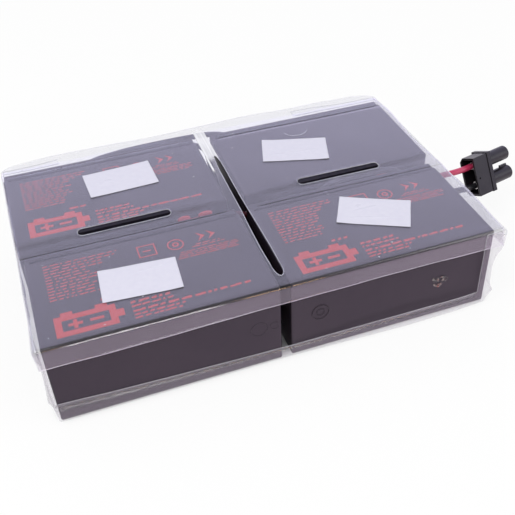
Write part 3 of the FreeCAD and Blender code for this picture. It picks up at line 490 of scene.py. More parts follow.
def coverTop():
    # flat grid; two doubled lines are pushed apart into the three slots, the outer cells stretch to
    # the border
    c = cover
    fine = np.arange(c["gridLeft"], c["gridRight"], c["step"])
    ends = [slotLines(middle - c["sideSlotHalf"], middle + c["sideSlotHalf"], c["sideSlotRadius"])
            for middle in (-c["sideSlotMiddle"], c["sideSlotMiddle"])]
    across, gapColumn = zipper(joined(fine, [c["gridRight"]], *ends), 0.0)
    seams = [line + step * creases["half"] for side, line in creases["lines"] for step in (-1, 0, 1)]
    slotRows = np.unique(middleSlot["y"][1:-1] + seams)
    rows = np.arange(block["front"] + c["fold"], c["gridRear"], c["step"])
    rows = rows[np.min(np.abs(rows[:, None] - slotRows), axis=1) > 0.5]
    along, gapRow = zipper(joined(rows, [c["gridRear"]], slotRows), c["sideSlotY"])
    a, b = lattice(across, along)
    sideX = np.where(np.arange(len(across)) <= gapColumn, -1.0, 1.0)[:, None]
    sideY = np.where(np.arange(len(along)) <= gapRow, -1.0, 1.0)
    leftShift = np.interp(b, middleSlot["y"], middleSlot["left"])
    rightShift = np.interp(b, middleSlot["y"], middleSlot["right"])
    fromEnd = c["sideSlotHalf"] - np.abs(np.abs(a) - c["sideSlotMiddle"])
    inset = np.clip(c["sideSlotRadius"] - fromEnd, 0, c["sideSlotRadius"])
    sideHalf = np.where(fromEnd > 0, np.sqrt(c["sideSlotRadius"] ** 2 - inset ** 2), 0)
    x = a + np.where(sideX < 0, leftShift, rightShift) * (1 - ease(np.abs(a) / c["push"]))
    y = b + sideY * sideHalf * (1 - ease(np.abs(b - c["sideSlotY"]) / c["push"]))
    right = through(y, rightEdge["y"], rightEdge["x"]) - c["fold"]
    left = through(y, leftEdge["y"], leftEdge["x"]) + c["fold"]
    x = stretched(stretched(x, c["calm"], c["gridRight"], right), -c["calm"], c["gridLeft"], left)
    y = stretched(y, c["calmRear"], c["gridRear"], rearLine(x) - c["fold"])
    z = sheetTop(x, y)
    for side, line in creases["lines"]:
        valley = np.clip(1 - np.abs(b - line) / creases["half"], 0, 1) * ease((side * x - 8) / 6)
        z = z - creases["depth"] * valley
    z = z + np.where(rightShift - leftShift > 0.01, curl(np.abs(a)), 0)
    z = z + np.where(sideHalf > 0.5, curl(np.abs(b - c["sideSlotY"])), 0)
    keep = np.ones((len(across) - 1, len(along) - 1), dtype=bool)
    keep[gapColumn] = False
    keep[:, gapRow] = False
    return stacked(x, y, z), keep


def borderPath(points, fan=7):
    # border of a grid, anticlockwise, each corner repeated while its outward direction turns
    sides = [points[:, 0], points[-1, :], points[::-1, -1], points[0, ::-1]]
    tangents = [unit(np.gradient(side[:, :2], axis=0)) for side in sides]
    outs = [stacked(tangent[:, 1], -tangent[:, 0]) for tangent in tangents]
    share = np.linspace(0, 1, fan + 2)[1:-1, None]
    allPlaces, allOuts = [], []
    for side, out, following in zip(sides, outs, outs[1:] + outs[:1]):
        allPlaces += [side, np.repeat(side[-1:], fan, axis=0)]
        allOuts += [out, unit(out[-1] * (1 - share) + following[0] * share)]
    return np.concatenate(allPlaces + [sides[0][:1]]), np.concatenate(allOuts + [outs[0][:1]])


# waves of the walls and flaps on each side: amplitude, length, direction and phase
alongY = math.pi / 2
flapWaves = {"front": [(0.25, 130, 0, 0.3), (0.1, 41, 0, 1.0)],
             "right": [(0.9, 74, alongY, 0.4), (0.4, 31, alongY, 2.0)],
             "rear": [(0.6, 110, 0, 1.4), (0.3, 43, 0, 0.2)],
             "left": [(0.5, 88, alongY, 0.9), (0.2, 29, alongY, 2.5)]}
frontFlap = {"x": [-163, -60, 0, 60, 163], "length": [16.2, 15.4, 14.2, 14.0, 14.6]}
# near the front corners the cover's flap leans out on the right and in on the left
flapTuck = {"right": 3.2, "left": -3.6, "from": -60, "run": 40, "stand": 0.25}


def sideShares(out):
    # how much of each side's waves a border point takes, by its outward direction
    x, y = out[:, 0], out[:, 1]
    return {"front": ease(-y), "rear": ease(y), "right": ease(x), "left": ease(-x)}


def sideWaves(place, share):
    return sum(part * ripple(place[:, 0], place[:, 1], flapWaves[side]) for side, part in share.items())


def coverFlap(points):
    # quarter circle round the border, then straight down, shorter in front; its free edge stands off
    place, out = borderPath(points)
    fold, flap = cover["fold"], cover["flap"]
    share = sideShares(out)
    short = (flap - through(place[:, 0], frontFlap["x"], frontFlap["length"])) * share["front"]
    offset, drop = quarter(fold, 8)
    offset = joined(offset, np.full(9, fold))
    lean = joined(np.zeros(8), np.linspace(0, 1, 10)[1:])
    drop = joined(drop, np.linspace(fold, flap, 10)[1:]) - short[:, None] * lean
    atCorner = ease((flapTuck["from"] - place[:, 1]) / flapTuck["run"]) * (1 - share["front"])
    tuck = atCorner * (flapTuck["right"] * share["right"] + flapTuck["left"] * share["left"])
    waves = flapTuck["stand"] + sideWaves(place, share)
    reach = offset + waves[:, None] * lean ** 1.4 + tuck[:, None] * lean ** 1.6
    level = place[:, 2:3] - drop
    return np.concatenate([place[:, None, :2] + out[:, None] * reach[..., None], level[..., None]], -1)


def sharpenCreases(piece):
    # the steep faces of the creases are shaded flat, so that each crease mirrors as a thin line
    faces = piece.data.polygons
    tilt = np.abs([face.normal[2] for face in faces])
    y, z = np.array([face.center[1:] for face in faces]).T / mm
    near = np.min([np.abs(y - line) for side, line in creases["lines"]], axis=0) < creases["half"]
    faces.foreach_set("use_smooth", ~(near & (tilt > 0.8) & (tilt < 0.92) & (z > batteryTop)))


topPoints, topKeep = coverTop()
coverMesh = joinGrids([topPoints, coverFlap(topPoints)], [False, True], [topKeep, None])
coverSheet = makePiece("coverSheet", *coverMesh, [coverVinyl, cutEdge], "clear_sheet", merge=2e-5,
                       gauge=sheetGauge, rim=1)
sharpenCreases(coverSheet)
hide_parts("cover")
print("cover sheet:", len(coverSheet.data.polygons), "faces")


# rims of the slots, and a ring that shows through the cover; its turn is in half turns
rims = {"radius": 0.22, "sides": 8, "rise": 0.3, "front": -82, "nose": -90.1, "rear": 62}
ring = {"middle": (74.3, 78.4), "radius": 10.4, "turn": (1.06, 1.94), "rise": 0.05}


def bead(path):
    # circle carried along a path, square to the path and upright
    tangent = unit(np.gradient(path, axis=0))
    side = unit(np.cross(tangent, [0, 0, 1]))
    upward = np.cross(side, tangent)
    angle = np.linspace(0, 2 * math.pi, rims["sides"] + 1)
    order = np.arange(len(path))
    taper = np.clip(np.minimum(order, order[::-1]) / 3, 0.02, 1)[:, None, None]
    circle = np.cos(angle)[:, None] * side[:, None] + np.sin(angle)[:, None] * upward[:, None]
    return path[:, None] + rims["radius"] * taper * circle


def onCover(x, y, rise):
    return stacked(x, y, sheetTop(x, y) + rise)


def sideRim(side):
    # front half of a side slot's outline: quarter turn, straight, quarter turn
    radius, half, middle = cover["sideSlotRadius"], cover["sideSlotHalf"], side * cover["sideSlotMiddle"]
    outward, inset = quarter(radius, 9)
    x = joined(middle - half + inset, np.linspace(middle - half + radius, middle + half - radius, 24)[1:-1],
               middle + half - inset[::-1])
    outward = joined(outward, np.full(22, radius), outward[::-1])
    return onCover(x, cover["sideSlotY"] - outward, rims["rise"])


def middleRim(edge, start, end):
    y = np.linspace(start, end, 70)
    return onCover(np.interp(y, middleSlot["y"], middleSlot[edge]), y, rims["rise"])


noseRim = joined(middleRim("left", rims["front"], rims["nose"]),
                 middleRim("right", rims["nose"], rims["front"])[1:])
ringTurn = np.linspace(*ring["turn"], 40) * math.pi
ringRim = onCover(ring["middle"][0] + ring["radius"] * np.cos(ringTurn),
                  ring["middle"][1] + ring["radius"] * np.sin(ringTurn), ring["rise"])
rimPaths = [sideRim(-1), sideRim(1), middleRim("left", rims["front"], rims["rear"]),
            middleRim("right", rims["front"], rims["rear"]), noseRim, ringRim]
# pale beads: partly the rims' own scatter, partly a painted highlight along them
makePiece("slotRims", *joinGrids([bead(path) for path in rimPaths], True), [curledRim], "clear_sheet",
          merge=2e-6)
print("slot rims laid")


# tray: a floor, and walls round it with a low front between two corner strips
tray = {"fold": 1.2, "height": 65.0, "leftStrip": 1.6, "rightStrip": 15.5, "inset": 0.65,
        "windowHalf": 4.05, "windowLow": 27.2, "windowHigh": 46.6, "step": 3.0, "bend": 4.5,
        "left": -158.4, "rightFront": 163, "rightRear": 160, "stripLeft": -155.8,
        "gridLeft": -156, "gridRight": 160, "gridRear": 130.3,
        "calmLeft": -148, "calmRight": 146, "calmRear": 92}
frontRim = {"x": [-158, -121, -84, -45, -20, 3, 42, 89, 148, 163],
            "z": [17.3, 15.2, 13.6, 12.2, 11.4, 11.0, 12.4, 13.6, 12.6, 11.4], "plain": 12}
frontSwell = {"x": [-158, 0, 46, 89, 130, 152, 163], "y": [0, 0, 1.6, 3.0, 2.5, 1.0, 0.4],
              "from": -70, "run": 29}
# rear wall: share of the floor's swell that is gone at each height
rearDraw = {"z": [0, 12, 30, 40, 47, 65], "share": [0, 0.1, 0.6, 0.85, 1, 1]}
# near the front corners the end walls are drawn in: floor inset, then how far the wall stands out
corners = {"run": 34, "leftInset": 2.6, "rightInset": 7.3,
           "z": [0, 3, 8, 12, 16, 21, 28, 36, 44, 52, 65],
           "left": [0, 0, 1.0, 1.0, 1.3, 3.3, 2.6, 1.7, 1.0, 0.8, 1.6],
           "right": [0, 0.3, 1.9, 4.2, 2.0, 1.5, 1.2, 1.0, 2.5, 6.2, 7.1]}
stripEnds = np.array([tray["stripLeft"] + tray["leftStrip"], tray["rightFront"] - tray["rightStrip"]])


def nearCorner(y):
    return 1 - ease((y - block["front"]) / corners["run"])


def trayFloor():
    # flat grid with lines at the lead window and at both corner strips, stretched to the border
    t = tray
    across = np.append(np.arange(t["gridLeft"], t["gridRight"], t["step"]), t["gridRight"])
    across = across[np.min(np.abs(across[:, None] - stripEnds), axis=1) > 1.0]
    across = np.sort(joined(across, stripEnds))
    along = np.arange(block["front"] + t["inset"] + t["fold"], t["gridRear"], t["step"])
    along = along[np.abs(np.abs(along) - t["windowHalf"]) > 0.8]
    along = np.unique(np.round(np.append(along, [-t["windowHalf"], t["windowHalf"], t["gridRear"]]), 4))
    a, b = lattice(across, along)
    right = np.interp(b, [block["front"], block["endWall"]], [t["rightFront"], t["rightRear"]]) - t["fold"]
    right = right - corners["rightInset"] * nearCorner(b)
    left = t["left"] + t["fold"] + corners["leftInset"] * nearCorner(b)
    x = stretched(stretched(a, t["calmRight"], a.max(), right), t["calmLeft"], a.min(), left)
    rear = rearLine(x) + rearSwell(x) - t["inset"] - t["fold"]
    y = stretched(b, t["calmRear"], b.max(), rear)
    swell = through(x, frontSwell["x"], frontSwell["y"])
    y = y - swell * ease((frontSwell["from"] - b) / frontSwell["run"])
    return stacked(x, y, np.zeros_like(x))


def trayWalls(points):
    # quarter circle round the floor's border, then up; the low front and the window are left out
    t = tray
    place, out = borderPath(points)
    offset, rise = quarter(t["fold"], 6)
    rimRow = len(rise) + 1
    level = joined(rise, [t["bend"]], np.linspace(frontRim["plain"], t["windowLow"], 6),
                   np.linspace(t["windowLow"], t["windowHigh"], 6)[1:],
                   np.linspace(t["windowHigh"], t["height"], 6)[1:])
    offset = joined(offset, np.full(len(level) - len(rise), t["fold"]))
    z = np.tile(level, (len(place), 1))
    front = ease((-out[:, 1] - 0.5) * 2)
    z[:, rimRow] += front * (through(place[:, 0], frontRim["x"], frontRim["z"]) - frontRim["plain"])
    share = sideShares(out)
    height = z / t["height"]
    # walls belly out a little between floor and cover
    belly = np.sin(math.pi * np.clip(height, 0, 1)) ** 1.2
    bulge = share["left"] * 0.7 + share["right"] * 0.9 + share["rear"] * 0.5 + 0.5 * sideWaves(place, share)
    plain = bulge[:, None] * belly - 0.1 * height
    near = nearCorner(place[:, 1])[:, None]
    atEnds = np.maximum(share["left"], share["right"])[:, None]
    drawn = sum(share[side][:, None] * np.interp(z, corners["z"], corners[side])
                for side in ("left", "right"))
    swell = (share["rear"] * rearSwell(place[:, 0]))[:, None] * np.interp(z, rearDraw["z"], rearDraw["share"])
    stand = plain * (1 - near * atEnds) + drawn * near - swell
    reach = offset + np.where(level > t["fold"], stand, 0)
    walls = np.concatenate([place[:, None, :2] + out[:, None] * reach[..., None], z[..., None]], -1)
    middle = (place[1:] + place[:-1]) / 2
    outMiddle = (out[1:] + out[:-1]) / 2
    rowMiddle = (level[1:] + level[:-1]) / 2
    lowFront = (outMiddle[:, 1] < -0.9) & (middle[:, 0] > stripEnds[0]) & (middle[:, 0] < stripEnds[1])
    atWindow = (outMiddle[:, 0] > 0.9) & (np.abs(middle[:, 1]) < t["windowHalf"])
    inWindow = (rowMiddle > t["windowLow"]) & (rowMiddle < t["windowHigh"])
    aboveRim = np.arange(len(rowMiddle)) >= rimRow
    return walls, ~(lowFront[:, None] & aboveRim | atWindow[:, None] & inWindow)


strips = {"drop": 6.0, "fold": 1.2, "rise": 0.25, "gauge": 0.3}


def topStrip(start, end, near, far):
    # strip of an end wall turned in under the cover, to a slanted edge
    fold = strips["fold"]
    up, inwards = quarter(fold, 6)
    run = joined([0], inwards, np.linspace(fold, abs(end - start), 24)[1:])
    drop = joined([strips["drop"]], fold - up, np.zeros(23))
    side = math.copysign(1, end - start)
    r, v = lattice(np.arange(len(run)), np.linspace(0, 1, 5))
    x = start + side * run[r]
    y = near + (far[0] + (far[1] - far[0]) * run[r] / run[-1] - near) * v
    return onCover(x, y, -sheetGauge - strips["rise"] - drop[r])


floorPoints = trayFloor()
wallPoints, wallKeep = trayWalls(floorPoints)
trayMesh = joinGrids([floorPoints, wallPoints], [True, False], [None, wallKeep])
wallRows = np.nonzero(wallKeep)[1]
# the bend's five rows are duller
traySlots = joined(np.zeros(len(trayMesh[1]) - len(wallRows)), np.where(wallRows < 5, 2, 0))
traySheet = makePiece("traySheet", *trayMesh, [trayVinyl, cutEdge, foldVinyl, cutEdge], "clear_sheet",
                      merge=2e-5, faceSlots=traySlots, gauge=sheetGauge, rim=1)
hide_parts("tray")
topStrips = [topStrip(-156.5, -114.2, 100.2, (104.6, 107.0)), topStrip(158.6, 82.0, 99.6, (103.6, 107.8))]
makePiece("trayStrips", *joinGrids(topStrips, [False, True]), [clearVinyl, creaseLine], "clear_sheet",
          merge=2e-5, gauge=strips["gauge"], rim=1)
print("tray sheet:", len(traySheet.data.polygons), "faces")


# blank labels: they lie on the cover and lift at two corners; crease is its slope, level, start and end
labels = {
    "frontLeftLabel": {"node": "front_left_label", "middle": (-85.5, -59.5), "turn": -4.2,
                       "lift": (0.1, 0.3), "crease": (0.16, 7.5, -6, 21)},
    "frontRightLabel": {"node": "front_right_label", "middle": (85.9, -49.5), "turn": -27.5,
                        "lift": (0.3, 0.15), "crease": (0.12, -7, -20, 22)},
    "rearLeftLabel": {"node": "rear_left_label", "middle": (-73.9, 59.8), "turn": 2.3,
                      "lift": (0.2, 0.1), "crease": (0.2, 1, -19, -4)},
    "rearRightLabel": {"node": "rear_right_label", "middle": (63.4, 48.9), "turn": -17,
                       "lift": (0.15, 0.3), "crease": (0.15, -4, -22, 18)},
}
labelSize = {"length": 51.5, "width": 31.5, "gauge": 0.12, "clear": 0.03, "crease": 0.42, "nick": 0.26,
             "dent": 0.15}
for name, label in labels.items():
    u, v = lattice(np.linspace(-1, 1, 90), np.linspace(-1, 1, 56))
    a, b = u * labelSize["length"] / 2, v * labelSize["width"] / 2
    turn = math.radians(label["turn"])
    x = label["middle"][0] + a * math.cos(turn) - b * math.sin(turn)
    y = label["middle"][1] + a * math.sin(turn) + b * math.cos(turn)
    corner = label["lift"][0] * ease((u * v - 0.55) / 0.45) + label["lift"][1] * ease((-u * v - 0.6) / 0.4)
    slope, level, start, end = label["crease"]
    along = ease((a - start) / 3) * ease((end - a) / 3)
    crease = labelSize["crease"] * along * bell((b - slope * a - level) / 0.55) \
        + labelSize["nick"] * bell((a - 11 + 0.4 * b) / 1.2, (b + 3) / 3.2) \
        + labelSize["dent"] * bell((a - 7) / 2.4, (b - 0.5 * a + 7) / 0.8)
    surface = onCover(x, y, labelSize["gauge"] + labelSize["clear"] + corner + crease)
    piece = makePiece(name, *joinGrids([surface]), [labelPaper], "blank_label", gauge=labelSize["gauge"])
    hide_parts(label["node"])
print("labels laid")


# print on three batteries: a battery sign, arrowheads, two small signs and rows of dashes
ink = {"gauge": 0.06, "lineWidth": 4.4, "dashHeight": 1.15, "dashPitch": 2.95}


def bar(x0, y0, x1, y1, slant=0.0):
    # four corners of a bar; slant shifts the upper side
    return np.array([[x0, y0], [x1, y0], [x1 + slant, y1], [x0 + slant, y1]])


def frameBars(x0, y0, x1, y1, width):
    # four bars round an open rectangle
    return [bar(x0, y0, x1, y0 + width), bar(x0, y1 - width, x1, y1),
            bar(x0, y0 + width, x0 + width, y1 - width), bar(x1 - width, y0 + width, x1, y1 - width)]


def ringQuads(x, y, outer, inner, count=24):
    # quads between two circles
    angle = np.linspace(0, 2 * math.pi, count + 1)
    rim = stacked(np.cos(angle), np.sin(angle))
    return [np.array([[x, y] + outer * rim[n], [x, y] + outer * rim[n + 1], [x, y] + inner * rim[n + 1],
                      [x, y] + inner * rim[n]]) for n in range(count)]


def dashRow(rng, x0, x1, y, height, longest, space=1.2):
    # dashes of a fifth to the whole of longest, each of a lower and a higher part, with spaces between
    made, x = [], x0
    while x < x1 - 1.0:
        word = min(longest * (0.2 + 0.8 * rng.random()), x1 - x)
        step = x + word * (0.3 + 0.5 * rng.random())
        made.append(bar(x, y - height, step, y - 0.3 * height * rng.random(), 0.1 * height))
        made.append(bar(step, y - height * (1 - 0.25 * rng.random()), x + word, y))
        x += word + height * space * (0.6 + 0.9 * rng.random())
    return made


def batteryPrint(seed):
    # places are counted from the middle of the print
    rng = np.random.default_rng(seed)
    # the sign: case, two terminals and a nose, plus and minus
    marks = frameBars(-64.5, -41, -26.5, -22.5, ink["lineWidth"])
    marks += [bar(-60, -22.5, -52.5, -19.5), bar(-38.5, -22.5, -31, -19.5), bar(-26.5, -35, -22, -28.5)]
    marks += [bar(-56.4, -32.9, -47.6, -30.5), bar(-53.2, -35.7, -50.8, -32.9),
              bar(-53.2, -30.5, -50.8, -27.7), bar(-43.2, -32.9, -34.6, -30.5)]
    # the block of rows on the left
    ends = joined([-15, -17, -24, -26], -37 + 10 * rng.random(9))
    for row, end in enumerate(ends):
        start = -64.3 + 0.3 * rng.random()
        marks += dashRow(rng, start, end, 30 - row * ink["dashPitch"], ink["dashHeight"], 6)
    # rows over and beside the sign: start, end, place, height, longest dash, space
    for values in ((-34, -22, -14.5, 2.2, 9, 0.6), (-17, 8.5, -24.6, 2.2, 7, 0.6),
                   (-17, 10, -28.6, 1.7, 6, 0.7), (-17, 60, -32.8, 2.1, 9, 0.7),
                   (-17, 16, -36.6, 1.6, 7, 0.8), (-17, 13, -39.6, 1.5, 8, 0.8)):
        marks += dashRow(rng, *values)
    # arrowheads, with rows below them
    head = np.array([[39.5, 18.5], [45.5, 23.4], [39.5, 28.3], [42.3, 23.4]])
    marks += [head, head + [7.4, 0]]
    marks += dashRow(rng, 37, 54, 16.4, 0.9, 6) + dashRow(rng, 34, 57, 14.3, 0.9, 6)
    for row in range(4):
        marks += dashRow(rng, 25 - row, 66 - 5 * rng.random(), 11 - row * 2.0, 0.85, 9)
    # the two small signs
    marks += frameBars(-2, 15, 10.5, 27.5, 0.9) + [bar(1.5, 20.4, 7, 21.6)]
    marks += ringQuads(24, 20.5, 5.8, 4.9) + ringQuads(24, 20.5, 2.4, 1.3, 14)
    return np.array(marks)


def layQuads(name, points, material, gauge, smooth=False):
    # piece of loose quads, four points after another
    makePiece(name, points, np.arange(len(points)).reshape(-1, 4), [material], "case_plastic", merge=0,
              smooth=smooth, gauge=gauge)


# middle of each print, and the seed of its dashes
batteryPrints = {"frontLeftPrint": ((-79, -52.6), 3), "frontRightPrint": ((79, -52.2), 5),
                 "rearLeftPrint": ((-82, 52.6), 8)}
for name, (middle, seed) in batteryPrints.items():
    flat = batteryPrint(seed).reshape(-1, 2) + np.array(middle)
    points = np.hstack([flat, np.full((len(flat), 1), batteryTop + ink["gauge"])])
    layQuads(name, points, printInk, ink["gauge"])
print("print laid")


# small marks: painted shade in the seams between containers and lids and in the side slots, moulded rings,
# sticker remains, dust, and the humps of the red boots under the cover
# near-black strips along each container's seam with its lid: painted shade in the seam
seamShadeSize = {"width": 1.8, "lift": 0.02}
names = ["front_left", "front_right", "rear_left", "rear_right"]
cases = {name: np.array(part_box(name + "_container")) / mm for name in names}
seamShadeGrids = []
for low, high in cases.values():
    x = np.linspace(low[0], high[0], 40)[1:-1]
    a, b = lattice(x, high[1] + seamShadeSize["width"] * np.linspace(-1, 0, 2))
    seamShadeGrids.append(stacked(a, b, np.full_like(a, high[2] + seamShadeSize["lift"])))
makePiece("lidSeamShades", *joinGrids(seamShadeGrids), [seamShade], "lid_plastic", gauge=seamShadeSize["lift"])

# dark sheets under each side slot, up the rear battery's front wall and over its top edge: painted shade
shades = {"reach": 9.9, "low": 50.0, "overlap": 1.5, "clear": 0.03, "before": 0.06, "gauge": 0.03}
shadeGrids = []
for side, name in [(-1, "rear_left"), (1, "rear_right")]:
    # profile: up the battery's base, then back over its edge
    wall = cases[name][0][1] - shades["before"]
    y = np.array([wall, wall, shades["reach"]])
    z = np.array([shades["low"], batteryTop + shades["clear"], batteryTop + shades["clear"]])
    half = cover["sideSlotHalf"] + shades["overlap"]
    x = side * cover["sideSlotMiddle"] + np.linspace(-half, half, 30)
    a, n = lattice(x, np.arange(3))
    shadeGrids.append(stacked(a, y[n], z[n]))
makePiece("slotShades", *joinGrids(shadeGrids), [slotShade], "case_plastic", smooth=False,
          gauge=shades["gauge"])

# moulded rings on the front faces: middle across and up, outer and inner radius
rings = {"sizes": [(-19.3, 33.4, 6.0, 5.5), (-8.7, 33.4, 3.2, 2.8), (24.5, 33.5, 6.4, 5.9),
                   (24.5, 33.5, 3.0, 2.6)], "face": -99.68, "gauge": 0.05}
flat = np.array([quad for values in rings["sizes"] for quad in ringQuads(*values)]).reshape(-1, 2)
points = stacked(flat[:, 0], np.full(len(flat), rings["face"]), flat[:, 1])
layQuads("mouldMarks", points, casePlastic, rings["gauge"], smooth=True)

# sticker remains: a disc whose edge is 1 + two sines
remains = {"middle": (114.6, 32.3), "half": (5.6, 4.6), "face": -99.7}
u, v = lattice(np.linspace(0, 1, 16), np.linspace(0, 2 * math.pi, 41))
out = u * (1 + 0.22 * np.sin(3 * v + 0.7) + 0.13 * np.sin(5 * v + 2.0))
disc = stacked(remains["middle"][0] + remains["half"][0] * out * np.cos(v), np.full_like(u, remains["face"]),
               remains["middle"][1] + remains["half"][1] * out * np.sin(v))
makePiece("stickerRemains", *joinGrids([disc], True), [stickerResidue], "case_plastic", merge=2e-6)


def dustSpecks(count, seed):
    # low six-sided domes of random size, spread over the cover
    rng = np.random.default_rng(seed)
    x, y = rng.uniform(-152, 156, count), rng.uniform(-98, 96, count)
    size = 0.16 + 0.3 * rng.random(count) ** 3
    angle = np.arange(6) * math.pi / 3
    around = stacked(np.cos(angle), np.sin(angle))
    stretch = 1 + 0.5 * rng.random((count, 6, 1))
    rim = stacked(x, y)[:, None] + size[:, None, None] * around[None] * stretch
    points = np.concatenate([onCover(rim[..., 0], rim[..., 1], 0), onCover(x, y, size * 0.8)[:, None]], 1)
    fan = np.array([[n, (n + 1) % 6, 6] for n in range(6)] + [[5, 4, 3], [5, 3, 2], [5, 2, 1], [5, 1, 0]])
    return points.reshape(-1, 3), (np.arange(count)[:, None, None] * 7 + fan[None]).reshape(-1, 3)


makePiece("dust", *dustSpecks(90, 21), [dustGrain], "clear_sheet", merge=0)

# humps: x, y, half length, half width and top; rounded by a power of the sine
humps = {"places": [(-41.2, -2.4, 4.6, 0.8, 65.2), (-25.4, -2.3, 5.2, 0.9, 65.3)], "half": 2.6, "power": 0.7}
u, v = lattice(np.linspace(0, math.pi, 24), np.linspace(0, 2 * math.pi, 25))
thick = np.sin(u) ** humps["power"]
humpGrids = [stacked(x - halfLong * np.cos(u), y + halfWide * thick * np.cos(v),
                     top - humps["half"] + humps["half"] * thick * np.sin(v))
             for x, y, halfLong, halfWide, top in humps["places"]]
makePiece("bootHumps", *joinGrids(humpGrids), [redSleeve], "red_sleeve", merge=2e-6)
print("small marks laid")


# free leads from the end wall to the connector
leads = {
    "redLead": {"node": "red_lead_free", "material": redVinyl, "slot": "red_insulation",
                "pieces": ["red_contact", "connector_housing"],
                "route": [(159.5, 1.6, 43.8), (170.5, 1.6, 43.8), (188.3, 0.7, 44.6), (199.95, 3.5, 44.6)]},
    "blackLead": {"node": "black_lead_free", "material": blackVinyl, "slot": "black_insulation",
                  "pieces": ["black_contact"],
                  "route": [(159.5, -1.6, 30), (170.5, -1.6, 30), (190, -6.6, 30), (201.7, -3.8, 30)]},
}
leadDiameter = 4.9

for name, lead in leads.items():
    curve = bpy.data.curves.new(name, "CURVE")
    curve.dimensions = "3D"
    spline = curve.splines.new("NURBS")
    route = np.array(lead["route"])
    spline.points.add(len(route) - 1)
    spline.points.foreach_set("co", np.hstack([route * mm, np.ones((len(route), 1))]).ravel())
    spline.order_u = 3
    spline.use_endpoint_u = True
    spline.resolution_u = 16
    curve.bevel_depth = leadDiameter / 2 * mm
    curve.bevel_resolution = 10
    curve.use_fill_caps = True
    curve.materials.append(lead["material"])
    piece = bpy.data.objects.new(name, curve)
    bpy.context.collection.objects.link(piece)
    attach(piece, "root")
    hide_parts(lead["node"])
print("leads laid")


floorSize = {"half": 6.0, "drop": 0.0002}
floorMesh = bpy.data.meshes.new("floor")
floorMesh.from_pydata([(x * floorSize["half"], y * floorSize["half"], -floorSize["drop"])
                       for x, y in ((-1, -1), (1, -1), (1, 1), (-1, 1))], [], [(0, 1, 2, 3)])
floor = bpy.data.objects.new("floor", floorMesh)
bpy.context.collection.objects.link(floor)


def directView(tree):
    # 1 for camera, transmission and glossy rays; and 1 for glossy rays alone
    path = node(tree, "LightPath").outputs
    straight = calc(tree, "MAXIMUM", path["Is Camera Ray"], path["Is Transmission Ray"])
    return calc(tree, "MAXIMUM", straight, path["Is Glossy Ray"]), path["Is Glossy Ray"]


def tinted(tree, factor, plain, tint):
    # plain where factor is 0, tint where it is 1; each is a colour or a socket
    made = node(tree, "Mix", data_type="RGBA")
    for source, place in ((factor, 0), (plain, 6), (tint, 7)):
        feed(tree, source, made.inputs[place])
    return made.outputs[2]


paperFinish = {"color": (0.9, 0.9, 0.9), "mirrored": (0.97, 0.93, 1.0), "inFront": (1.07, 0.86, 1.1),
               "glow": 0.88, "frontEnd": -108, "underX": (-148, 150, 14), "underY": (-90, 98, 16)}


def paperSurface(tree):
    # white paper that keeps the shade under the object; its mirror image is tinted, more so in front
    p = paperFinish
    seen, glossy = directView(tree)
    x, y = objectPlace(tree)[:2]
    aside = tinted(tree, glossy, (1, 1, 1, 1), (*p["mirrored"], 1))
    ahead = multiply(tree, window(tree, y, -floorSize["half"] / mm, p["frontEnd"], 12), glossy)
    glow = result(tree, "Emission", tinted(tree, ahead, aside, (*p["inFront"], 1)))
    under = multiply(tree, window(tree, x, *p["underX"]), window(tree, y, *p["underY"]))
    share = multiply(tree, seen, spread(tree, under, 1, 0), p["glow"])
    return result(tree, "MixShader", share, result(tree, "BsdfDiffuse", (*p["color"], 1)), glow)


floorMesh.materials.append(newMaterial("palePaper", paperSurface))

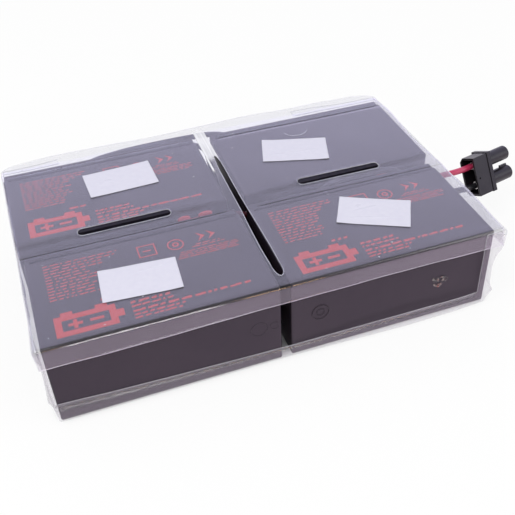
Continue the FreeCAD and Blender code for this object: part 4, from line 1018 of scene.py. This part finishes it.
# white studio; mirrored, it is faintly lavender, with a darker side in front and thin tubes over it
studio = {"light": 0.7, "seen": 1.0, "mirrored": (0.94, 0.91, 1.22), "darkWay": (-0.235, -0.836, 0.496),
          "dark": 0.04, "darkInner": 0.54, "darkOuter": 0.34, "soft": 0.01}
tubes = [{"color": (1, 0.98, 0.95), "x": (-0.02, 0.16), "z": (0.02, 0.26), "power": 8.0},
         {"color": (1, 0.62, 0.3), "x": (0.2, 0.29), "z": (0.24, 0.4), "power": 6.0},
         {"color": (1, 0.6, 0.35), "x": (-0.12, -0.03), "z": (0.3, 0.42), "power": 3.0}]


def studioSurface(tree):
    # for glossy rays alone, darker towards darkWay and brighter in the tubes
    seen, glossy = directView(tree)
    way = node(tree, "TexCoord").outputs["Generated"]
    towards = node(tree, "VectorMath", way, studio["darkWay"], operation="DOT_PRODUCT").outputs["Value"]
    darkness = result(tree, "MapRange", towards, interpolation_type="SMOOTHSTEP",
                      From_Min=studio["darkOuter"], From_Max=studio["darkInner"])
    shade = spread(tree, multiply(tree, darkness, glossy), 1, studio["dark"])
    strength = multiply(tree, spread(tree, seen, studio["light"], studio["seen"]), shade)
    total = result(tree, "Background", tinted(tree, glossy, (1, 1, 1, 1), (*studio["mirrored"], 1)), strength)
    x, y, z = node(tree, "SeparateXYZ", way).outputs
    inFront = calc(tree, "LESS_THAN", y, 0)
    soft = studio["soft"] / mm
    for tube in tubes:
        across = window(tree, x, *(value / mm for value in tube["x"]), soft)
        upward = window(tree, z, *(value / mm for value in tube["z"]), soft)
        lit = result(tree, "Background", (*tube["color"], 1),
                     multiply(tree, across, upward, inFront, glossy, tube["power"]))
        total = result(tree, "AddShader", total, lit)
    return total


world = bpy.data.worlds.new("studio")
bpy.context.scene.world = world
world.use_nodes = True
world.node_tree.nodes.clear()
node(world.node_tree, "OutputWorld", studioSurface(world.node_tree))

lamps = {
    "keyLamp": {"place": (-0.9, -0.5, 1.5), "size": (1.4, 1.0), "power": 14},
    "fillLamp": {"place": (1.2, -1.0, 0.9), "size": (1.2, 1.2), "power": 6},
}
for name, lamp in lamps.items():
    light = bpy.data.lights.new(name, "AREA")
    light.shape = "RECTANGLE"
    light.size, light.size_y = lamp["size"]
    light.energy = lamp["power"]
    holder = bpy.data.objects.new(name, light)
    holder.location = lamp["place"]
    holder.rotation_euler = (-Vector(lamp["place"])).to_track_quat("-Z", "Y").to_euler()
    bpy.context.collection.objects.link(holder)
print("stage and lamps set")
